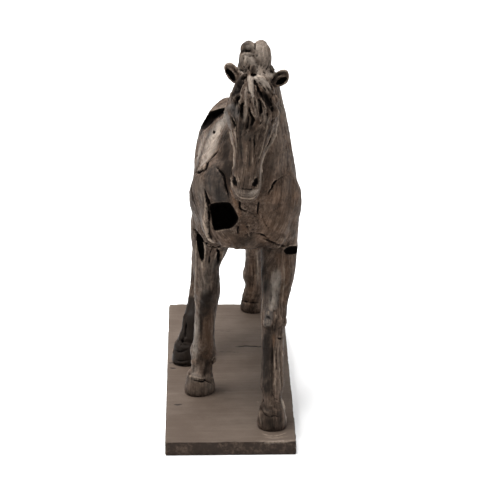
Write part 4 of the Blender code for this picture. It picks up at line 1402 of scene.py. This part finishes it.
def by_kind(on_limbs, on_body, on_hair):
    """A value for each vertex, by the kind of line that its grain follows."""
    return np.where(np.isin(main, LIMB_LINES), on_limbs, np.where(main < HAIR_FROM, on_body, on_hair))


strand = np.zeros(len(co))
furrow = np.zeros(len(co))
of_wide, of_mid, of_fine = STRAND_SHARES
for k, place in enumerate(places):
    rows = np.flatnonzero(weight[k])
    at = place[rows] * (HAIR_FINENESS if k >= HAIR_FROM else 1)
    wide, mid, fine = (value_noise(at / size, seed + k) for size, seed in STRANDS)
    strand[rows] += weight[k, rows] * (of_wide * wide + of_mid * mid + of_fine * fine)
    lines = np.clip(1 - np.abs(wide) / 0.10, 0, 1) + 0.6 * np.clip(1 - np.abs(mid) / 0.12, 0, 1)
    furrow[rows] += weight[k, rows] * lines
patches = np.clip(0.55 + 0.9 * value_noise(co / 34, 71), 0, 1)
furrow *= by_kind(patches, patches, 1)
calm = by_kind(0.55, 0.85, 1.1)
relief = calm * (strand - FURROW_DEPTH * furrow) + PITTING * rough_noise(co / 7, 95)
ground = np.clip((co[:, 2] - FOOT) / FOOT_FULL, 0.1, 1) * np.clip(co[:, 2] / 3, 0, 1)
co += normals(skin) * (relief * ground)[:, None]
co[:, 2] = np.maximum(co[:, 2], 0)
place_vertices(skin, np.clip(to_world(co), horse_low, horse_high))

# What the finish follows: crests, lightened by wear and painted highlight, creases, darkened by painted
# shade, the depth of the cuts and hollows, also darkened as painted shade, and the grain
CREST_PASSES, CREST_HEIGHT = 4, 0.0006
SWELL_PASSES, SWELL_HEIGHT = 110, 0.004
CUP_NEARER, CUP_FARTHER, CUP_RADIUS = 0.003, 0.02, 20
RIFT_WALL = 1.25
FETLOCK = 0.03


def crest_of(mesh, passes):
    """How far a vertex stands out of its neighbours' mean, along its normal, after the surface has
    been averaged so many times."""
    count = len(mesh.vertices)
    edges = np.empty(len(mesh.edges) * 2, np.int32)
    mesh.edges.foreach_get("vertices", edges)
    a, b = edges.reshape(-1, 2).T
    degree = np.bincount(a, minlength=count) + np.bincount(b, minlength=count)
    co = coordinates(mesh)
    eased = co.copy()
    for _ in range(passes):
        sums = [np.bincount(a, eased[b, k], count) + np.bincount(b, eased[a, k], count) for k in range(3)]
        eased = np.stack(sums, axis=1) / degree[:, None]
    return ((co - eased) * normals(mesh)).sum(axis=1)


write_attribute(skin, "crest", crest_of(skin, CREST_PASSES) / CREST_HEIGHT)
write_attribute(skin, "swell", crest_of(skin, SWELL_PASSES) / SWELL_HEIGHT)
# The insides of the bores, the ear cups and the rifts, which take painted shade
hollow = np.zeros(len(co), bool)
for outline, middle, depth in bored:
    hollow |= inside(co, outline, middle - 0.5 * depth * MILLIMETRE, middle + (depth + 5) * MILLIMETRE)
for outer, inner, seat in EARS:
    root = ear_root(seat)
    cup = inside(co, inner, reach_of(root) - CUP_NEARER, reach_of(root) + CUP_FARTHER)
    hollow |= cup & (np.linalg.norm(co - root, axis=1) < CUP_RADIUS)
for rift in RIFTS:
    hollow |= grain_places(co, rift)[1] < RIFT_WALL
fineness = by_kind(0.62, 1, 2.4)
fineness *= 0.3 + 0.7 * np.clip((co[:, 2] - horse_low[2]) / FETLOCK, 0, 1)
write_attribute(skin, "deep", np.maximum(np.clip((-cut - 0.9) / 2.0, 0, 1), hollow))
write_attribute(skin, "furrow", furrow * np.minimum(calm, 1) * np.clip(fineness * 2 - 0.3, 0, 1))
write_attribute(skin, "ridge", np.clip(rise / 1.6, 0, 1))

# Colour that lies over the relief, traced in the photograph: how far it reaches in millimetres, how
# strong it is, and its points. Much of it is painted light: highlights and sheen painted among the
# pale and grey-blue strokes, and shadow painted in most of the dark ones.
# Pale cream wood, and painted highlight: the lit top of the barrel, the sheen on the left forearm, the
# bright facet of the topknot and the light rims of the ears, chin, right cannon and left hoof
PALE_AND_HIGHLIGHT = [
    # the topknot and the ears
    (8, 0.3, [(241.6, 59), (244.6, 66)]),
    (2.5, 0.35, [(274, 73), (280, 70.4), (286, 70.6)]),
    (2.5, 0.35, [(227, 64), (232, 63.6), (237, 68)]),
    (7, 1.5, [(247.6, 57.6), (251, 60.4), (253, 63)]),
    (2.2, 0.6, [(242, 54.6), (247, 53.4), (253.8, 54.4)]),
    (3.4, 0.3, [(248, 47), (251.6, 46.4)]),
    (4, 0.5, [(239.6, 69), (243, 73)]),
    (18, 0.62, [(262, 72), (266, 58), (262, 46)]),
    (9, 0.25, [(245, 58), (247, 66)]),
    (6, 0.5, [(270, 68), (270.6, 74)]),
    # the forelock and the head
    (5.5, 1.0, [(250.2, 78), (250.8, 84), (251.4, 89)]),
    (2.4, 0.9, [(251.6, 88), (252.2, 92), (252.6, 96)]),
    (2.6, 0.32, [(246.4, 88), (245.4, 98), (246, 110), (244.6, 120)]),
    (2.4, 0.3, [(253.6, 100), (255, 108), (257.6, 117)]),
    (2.0, 0.35, [(240.6, 94), (239.4, 101), (236.6, 107)]),
    (2.0, 0.3, [(263.6, 103), (265.6, 110), (263.4, 118)]),
    (6.5, 1.5, [(257.6, 77.6), (262.4, 80.2), (266.6, 84)]),
    (3.2, 0.5, [(260, 83), (264, 87), (268, 91)]),
    (3.5, 0.7, [(267.4, 84), (271, 89)]),
    (9, 0.25, [(238, 192.5), (246, 195), (256, 193)]),
    (6, 0.8, [(251, 194), (256, 192)]),
    (3, 0.4, [(269, 146), (265.4, 152.6), (262.6, 160), (261.4, 168)]),
    (2.4, 0.4, [(230, 132), (233.8, 146), (234.8, 154), (233.8, 166)]),
    (3, 0.4, [(260.8, 169), (260.4, 178), (260, 186)]),
    (3, 0.5, [(278, 121), (275.4, 134), (271, 143)]),
    (13, 0.07, [(247, 138), (247, 154), (248, 172)]),
    (4.5, 0.3, [(258, 104), (262, 112), (268, 122)]),
    # the neck, the back, the shoulders and the breast
    (30, 0.66, [(222, 126), (214, 138), (205, 158)]),
    (14, 0.4, [(203, 140), (198, 156)]),
    (12, 0.12, [(210, 113), (218, 109), (226, 105)]),
    (3.5, 0.8, [(206, 230), (209, 238), (213, 243)]),
    (20, 0.10, [(281, 104), (281, 124), (280, 144), (278, 160)]),
    (12, 0.3, [(281, 96), (284, 112), (288, 130), (294, 146), (298, 160)]),
    (13, 0.16, [(198, 184), (200, 198), (202, 212), (203, 226)]),
    # the legs and the hooves
    (8, 0.55, [(276.6, 274), (275, 286), (273.6, 298), (272.6, 306)]),
    (8, 0.08, [(279, 345), (279.6, 365), (280, 390)]),
    (2.8, 0.2, [(196.2, 250), (195.4, 272), (194.6, 292), (196, 304), (199, 313)]),
    (7, 0.4, [(196.6, 318), (195.6, 336), (194, 356)]),
    (5, 0.8, [(283, 401), (285, 409), (286.4, 418)]),
    (14, 0.18, [(206, 264), (205, 276), (203, 286)]),
    (4, 0.15, [(256.6, 252), (257.6, 268), (257.6, 284)]),
    (9, 0.3, [(195, 368), (196, 376)]),
    (18, 0.13, [(192, 386), (200, 388), (210, 386)]),
]
WARM = [
    # the topknot and the ears
    (12, 0.3, [(262, 70), (266, 55), (262, 46)]),
    # the forelock and the head
    (3.2, 0.55, [(246.4, 143), (246, 156), (245.8, 174)]),
    (10, 0.5, [(246, 138), (250, 152), (250, 170)]),
    (6, 0.6, [(258, 124), (252, 132), (246, 138)]),
    (8, 0.7, [(261, 88), (266, 93), (270, 97)]),
    # the neck, the back, the shoulders and the breast
    (5, 1.0, [(227, 178), (230, 190), (235, 203), (239, 216)]),
    (14, 0.7, [(216, 138), (209, 150), (202, 160)]),
    (16, 0.5, [(276, 150), (272, 168), (266, 186)]),
    (14, 0.45, [(262, 215), (268, 228), (262, 240)]),
    (14, 0.5, [(284, 118), (288, 136), (294, 154), (296, 168)]),
    (30, 0.45, [(274, 196), (278, 212), (274, 230)]),
    (16, 0.4, [(290, 176), (294, 196), (294, 220)]),
    (12, 0.35, [(248, 222), (238, 236), (228, 240)]),
    # the legs and the hooves
    (9, 0.5, [(286, 258), (286, 280), (284, 300)]),
    (10, 0.9, [(207, 312), (207.6, 330), (207, 354)]),
    (12, 0.35, [(190, 386), (202, 388)]),
    (14, 0.35, [(252, 262), (252, 282), (250, 300)]),
    (3, 0.8, [(273.4, 336), (273.6, 346)]),
    (6, 0.5, [(278, 256), (279, 261)]),
]
# Grey-blue wood, and painted sheen on the left forearm and knee and on the right hind leg
COOL_AND_SHEEN = [
    # the forelock and the head
    (9, 0.9, [(230, 106), (234, 110), (236, 114)]),
    # the neck, the back, the shoulders and the breast
    (18, 0.95, [(227, 117), (220, 124), (213, 130)]),
    (16, 0.8, [(213, 176), (216, 186), (220, 195)]),
    (9, 0.35, [(289, 178), (290, 188)]),
    (10, 0.4, [(203, 190), (206, 200), (204, 212)]),
    # the legs and the hooves
    (8, 1.4, [(267.2, 322.4), (268.8, 313.6)]),
    (9, 0.3, [(266, 335), (266, 360), (266, 388)]),
    (9, 0.7, [(267, 284), (267, 296), (266, 308)]),
    (9, 1.0, [(276, 276), (274.4, 290), (272.6, 304)]),
    (6, 0.8, [(188, 312), (190, 318)]),
    (3, 0.7, [(184, 314), (183, 320)]),
    (3, 0.5, [(177, 344), (176, 352)]),
    (5, 0.6, [(196.6, 318), (196, 334), (195, 350)]),
]
# Mostly painted shadow: the far hind leg, the neck behind the head, the side of the neck turned from the
# light, the topknot's left side and the gaps between the locks; some is dark wood, as on the left cannon
SHADOW_AND_DARK = [
    # the topknot and the ears
    (5.5, 0.75, [(252.6, 66), (252.8, 71)]),
    (4, 0.4, [(242.4, 57), (243.4, 61)]),
    (4, 0.7, [(256.6, 66), (257, 71)]),
    (3.5, 0.6, [(257, 55), (257.6, 58)]),
    (4, 0.7, [(245, 70), (246.4, 74)]),
    (12, 0.8, [(244, 42), (246, 47)]),
    (3.6, 1.0, [(239.8, 50), (239.2, 58), (239.4, 66)]),
    (4, 0.9, [(241.4, 51.8), (246, 51.6)]),
    (6, 0.7, [(228, 69), (233, 76)]),
    (6, 0.7, [(272, 82), (279, 74), (286, 73)]),
    # the forelock and the head
    (9, 0.7, [(246, 122), (252, 130), (246, 138)]),
    (10, 1.0, [(241.6, 80.4), (238.6, 87), (236.6, 93)]),
    (6, 0.9, [(238.4, 96), (237.6, 104)]),
    (9, 1.0, [(264.6, 94.6), (268, 101.6), (271.4, 108)]),
    (7, 0.8, [(242.6, 104), (243, 118), (240, 132)]),
    (4, 0.7, [(241.2, 136), (241, 150), (241.8, 166)]),
    (4, 0.7, [(249.8, 138), (250.2, 150), (249.4, 166)]),
    (5, 0.8, [(271.4, 126), (268.8, 134)]),
    (8, 0.4, [(240, 140), (240, 156), (239, 172)]),
    (6, 0.25, [(252, 140), (253, 158), (252, 174)]),
    # the neck, the back, the shoulders and the breast
    (14, 0.7, [(213, 172), (217, 184), (222, 197)]),
    (12, 0.6, [(240, 240), (256, 246), (272, 248)]),
    (12, 0.5, [(270, 160), (264, 176), (262, 190)]),
    (6, 0.6, [(194, 176), (191.6, 188), (194, 202)]),
    (17, 1.0, [(225, 136), (225.6, 150), (226, 166), (228, 182)]),
    (14, 0.25, [(290, 190), (288, 204), (284, 220)]),
    (10, 0.9, [(204, 128), (199, 136), (196, 146), (193, 158)]),
    (9, 0.6, [(277, 148), (274, 160), (268, 176)]),
    # the legs and the hooves
    (11, 1.0, [(266.4, 334), (266.4, 360), (266.6, 394)]),
    (13, 0.75, [(264, 404), (266, 418), (272, 430)]),
    (8, 0.6, [(280, 416), (281, 428)]),
    (22, 1.8, [(190, 308), (189, 320), (188, 334), (185, 348), (182, 362)]),
    (14, 1.8, [(179, 346), (177, 356), (178, 364)]),
    (8, 0.5, [(213, 262), (216, 274), (216, 290)]),
    (5, 0.5, [(201.8, 316), (201.8, 332)]),
    (10, 0.5, [(206, 312), (206.6, 332), (206, 352)]),
    (6, 0.5, [(207, 362), (206, 372)]),
    (15, 0.8, [(262, 254), (263, 272), (264, 288)]),
    (8, 0.8, [(268.4, 329), (270, 333)]),
    (5, 0.5, [(275, 329), (279, 333)]),
    (13, 1.2, [(208, 296), (207, 304), (205, 312)]),
    (14, 0.7, [(268, 429), (276, 430), (283, 428)]),
]


PAINT_STEP = 1.0


def painted(co, strokes, tree):
    """The strongest of the strokes at each vertex: strength times 1 - (d/r)^2, made uneven by noise."""
    shade = np.zeros(len(co))
    for reach, strength, points in strokes:
        path = to_figure(seen(tree, along(points, PAINT_STEP)))
        if len(path) < 2:
            continue
        rows, away, _ = near_path(co, path, reach)
        shade[rows] = np.maximum(shade[rows], strength * np.clip(1 - (away / reach) ** 2, 0, 1))
    return np.clip(shade * (1 + 0.5 * np.maximum(rough_noise(co / 9, 91), -0.7)), 0, 1)


tree = search_tree(coordinates(skin), skin)
# Strokes of colour as attributes: pale wood with painted highlight, warm rust, grey-blue with painted
# sheen, and mostly painted shadow over some dark wood
for name, strokes in (("pale_and_highlight", PALE_AND_HIGHLIGHT), ("warm", WARM), ("cool_and_sheen", COOL_AND_SHEEN), ("shadow_and_dark", SHADOW_AND_DARK)):
    write_attribute(skin, name, painted(co, strokes, tree))
# Each line's grain lies in a stretch of the pattern of its own
grain = np.zeros((len(co), 3))
for k, place in enumerate(places):
    grain[main == k] = place[main == k] * fineness[main == k, None] + 40 * k
grain_values = skin.attributes.new("grain", "FLOAT_VECTOR", "POINT")
grain_values.data.foreach_set("vector", grain.astype(np.float32).ravel())

# The skin is thinned to what its file can hold. Every vertex of a closed skin has three faces or
# more, so those that thinning leaves on fewer are strays.
MOST_TRIANGLES = 196000
SMALLEST_FAN = 3
horse = link("horse_figure", skin)
thin = horse.modifiers.new("thin", "DECIMATE")
skin.calc_loop_triangles()
thin.ratio = min(1, MOST_TRIANGLES / len(skin.loop_triangles))
thin.use_collapse_triangulate = True
thinned = finished(horse)
horse.modifiers.clear()
horse.data = thinned
corners = np.empty(len(thinned.loops), np.int32)
thinned.loops.foreach_get("vertex_index", corners)
fans = np.bincount(corners)[corners].reshape(-1, 3).min(axis=1)
clean = bmesh.new()
clean.from_mesh(thinned)
clean.faces.ensure_lookup_table()
strays = [clean.faces[k] for k in np.flatnonzero(fans < SMALLEST_FAN)]
bmesh.ops.delete(clean, geom=strays, context="FACES")
clean.to_mesh(thinned)
clean.free()
place_vertices(thinned, np.clip(coordinates(thinned), horse_low, horse_high))
smooth_shaded(thinned)

# The finish: two browns drawn along the grain, then greys, rust and dark blotches, pale wood with
# painted highlights, grey-blue with painted sheen, painted shadow over dark wood, ridges lightened by
# wear and painted highlight, painted shade in creases, cuts and hollows, and fine grit and cracks over all
WOOD_SHADE = {
    "dark": (0.0225, 0.0148, 0.0104),
    "light": (0.122, 0.0850, 0.0635),
    "grey": (0.056, 0.048, 0.043),
    "rust": (0.112, 0.062, 0.036),
    "blotch": (0.016, 0.0102, 0.0072),
    # The next five are partly painted light: sheen in the slate grey, mostly shadow in the near-black
    # brown, highlight in the two pale browns, and shade in the darkest
    "slate_and_sheen": (0.064, 0.062, 0.060),
    "shadow_and_dark_tone": (0.0085, 0.0060, 0.0045),
    "pale_and_highlight": (0.290, 0.245, 0.205),
    "rubbed_and_highlight": (0.28, 0.218, 0.168),
    "shade": (0.003, 0.0020, 0.0015),
    "grit": (0.013, 0.009, 0.0065),
    "fleck": (0.200, 0.158, 0.124),
    "crack": (0.004, 0.0026, 0.0020),
}
WOOD_BUMP = 0.0013

material, shader, place = finish_material("driftwood resin")
grain = place.node("ShaderNodeAttribute", {"attribute_name": "grain"}, output=1)
crest, swell, deep, furrow, ridge, pale_and_highlight, warm, cool_and_sheen, shadow_and_dark = (
    attribute(place, name)
    for name in ("crest", "swell", "deep", "furrow", "ridge", "pale_and_highlight", "warm", "cool_and_sheen", "shadow_and_dark")
)
streak = grain.noise(0.24, 6, 0.7)
fibre = grain.noise(0.62, 4, 0.65)
cloud = place.noise(9, 5, 0.65)
stain = place.noise(21, 5, 0.65)
blotch = place.noise(58, 5, 0.7)
grit = place.noise(190, 5, 0.72)
speck = place.noise(420, 3, 0.6)
# Pale wood and painted highlight, broken up along the grain
pale_and_highlight = pale_and_highlight * ((fibre * 0.5 + streak * 0.5).between(0.30, 0.60) * 0.5 + 0.5)
# Crests, swells and narrow ridges lightened, as wear and painted highlight, but not in the painted shadow
rubbed_and_highlight = (crest.between(0.3, 1.5) * 0.55 + swell.between(0.3, 1.6) * 0.16) * fibre.between(0.36, 0.62)
rubbed_and_highlight = (rubbed_and_highlight + ridge * 0.60 * fibre.between(0.22, 0.56)) * (1 - shadow_and_dark)
# Painted shade: darker in creases and hollows of the skin at two sizes, in cuts, bores and furrows, and
# less under the pale strokes
shade = (0 - crest).between(0.2, 1.4) * 0.75 + (0 - swell).between(0.05, 1.1) * 0.8
shade = shade + deep * 1.3 + furrow * 0.7
shade = (shade * (1 - pale_and_highlight * 0.55)).capped()
split = (1 - (grain.noise(0.30, 3, 0.5) - 0.5).size().between(0.0, 0.020)) * cloud.between(0.46, 0.60)
vein = (1 - (place.noise(40, 5, 0.6) - 0.5).size().between(0.0, 0.013)) * stain.between(0.48, 0.60)
cracked = (split * 0.6 + vein * 0.5) * (1 - shadow_and_dark * 0.7) * (1 - pale_and_highlight * 0.5)
layers = [
    ("light", (streak * 0.45 + fibre * 0.3 + cloud * 0.3).between(0.44, 0.64)),
    ("grey", cloud.between(0.54, 0.72) * 0.25),
    ("rust", stain.between(0.58, 0.74) * 0.45 + warm * 0.6),
    ("blotch", blotch.between(0.50, 0.64) * 0.55),
    ("slate_and_sheen", cool_and_sheen * 0.6),
    ("shadow_and_dark_tone", shadow_and_dark * 0.92),
    ("pale_and_highlight", pale_and_highlight),
    ("rubbed_and_highlight", rubbed_and_highlight),
    ("shade", shade),
    ("grit", grit.between(0.54, 0.70) * 0.5),
    ("fleck", (0.46 - grit).between(0.0, 0.12) * 0.2 * (1 - shade) * (1 - shadow_and_dark)),
    ("crack", cracked),
]
colour = layered(tone(WOOD_SHADE["dark"]), WOOD_SHADE, layers)
height = streak * 0.5 + fibre * 0.35 + grit * 0.4 + speck * 0.05 - cracked * 0.5
shader.inputs["Specular IOR Level"].default_value = 0.05
dress(place, shader, colour, 0.52 - rubbed_and_highlight * 0.1 + shade * 0.4, height, WOOD_BUMP)
thinned.materials.append(material)
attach(horse, "root")
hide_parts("horse")


# The studio: a pale floor, a wide soft lamp above, soft ones on both sides and in front, and one on
# the floor behind
FLOOR_HALF = 6.0
FLOOR_CORNERS = [(x * FLOOR_HALF, y * FLOOR_HALF, 0) for x, y in ((-1, -1), (1, -1), (1, 1), (-1, 1))]
AIR_GLOW = 0.24
floor_mesh = bpy.data.meshes.new("floor")
floor_mesh.from_pydata(FLOOR_CORNERS, [], [(0, 1, 2, 3)])
floor = link("floor", floor_mesh)
material, shader, place = finish_material("pale floor")
shader.inputs["Base Color"].default_value = (0.92, 0.92, 0.92, 1)
shader.inputs["Roughness"].default_value = 0.9
floor_mesh.materials.append(material)

bpy.context.scene.view_settings.view_transform = "Standard"
world = bpy.data.worlds.new("studio")
world.use_nodes = True
air = world.node_tree.nodes["Background"]
air.inputs["Color"].default_value = (1, 1, 1, 1)
air.inputs["Strength"].default_value = AIR_GLOW
bpy.context.scene.world = world


def soft_lamp(name, place, aim, size, power):
    lamp = bpy.data.lights.new(name, "AREA")
    lamp.shape = "RECTANGLE"
    lamp.size, lamp.size_y = size
    lamp.energy = power
    made = link(name, lamp)
    made.location = place
    made.rotation_mode = "QUATERNION"
    made.rotation_quaternion = (Vector(aim) - Vector(place)).to_track_quat("-Z", "Y")


soft_lamp("above", (-0.5, 0.15, 2.2), (0, 0, 0.25), (1.4, 1.4), 108)
soft_lamp("left", (-2.0, -0.7, 1.2), (0, 0, 0.3), (0.7, 1.6), 18)
soft_lamp("right", (2.0, -0.7, 1.2), (0, 0, 0.3), (0.7, 1.6), 20)
soft_lamp("front", (0.2, -3.4, 1.9), (0, 0, 0.25), (1.0, 1.0), 10)
soft_lamp("behind", (0, 3.2, 3.0), (0, 3.6, 0), (3.0, 2.0), 150)
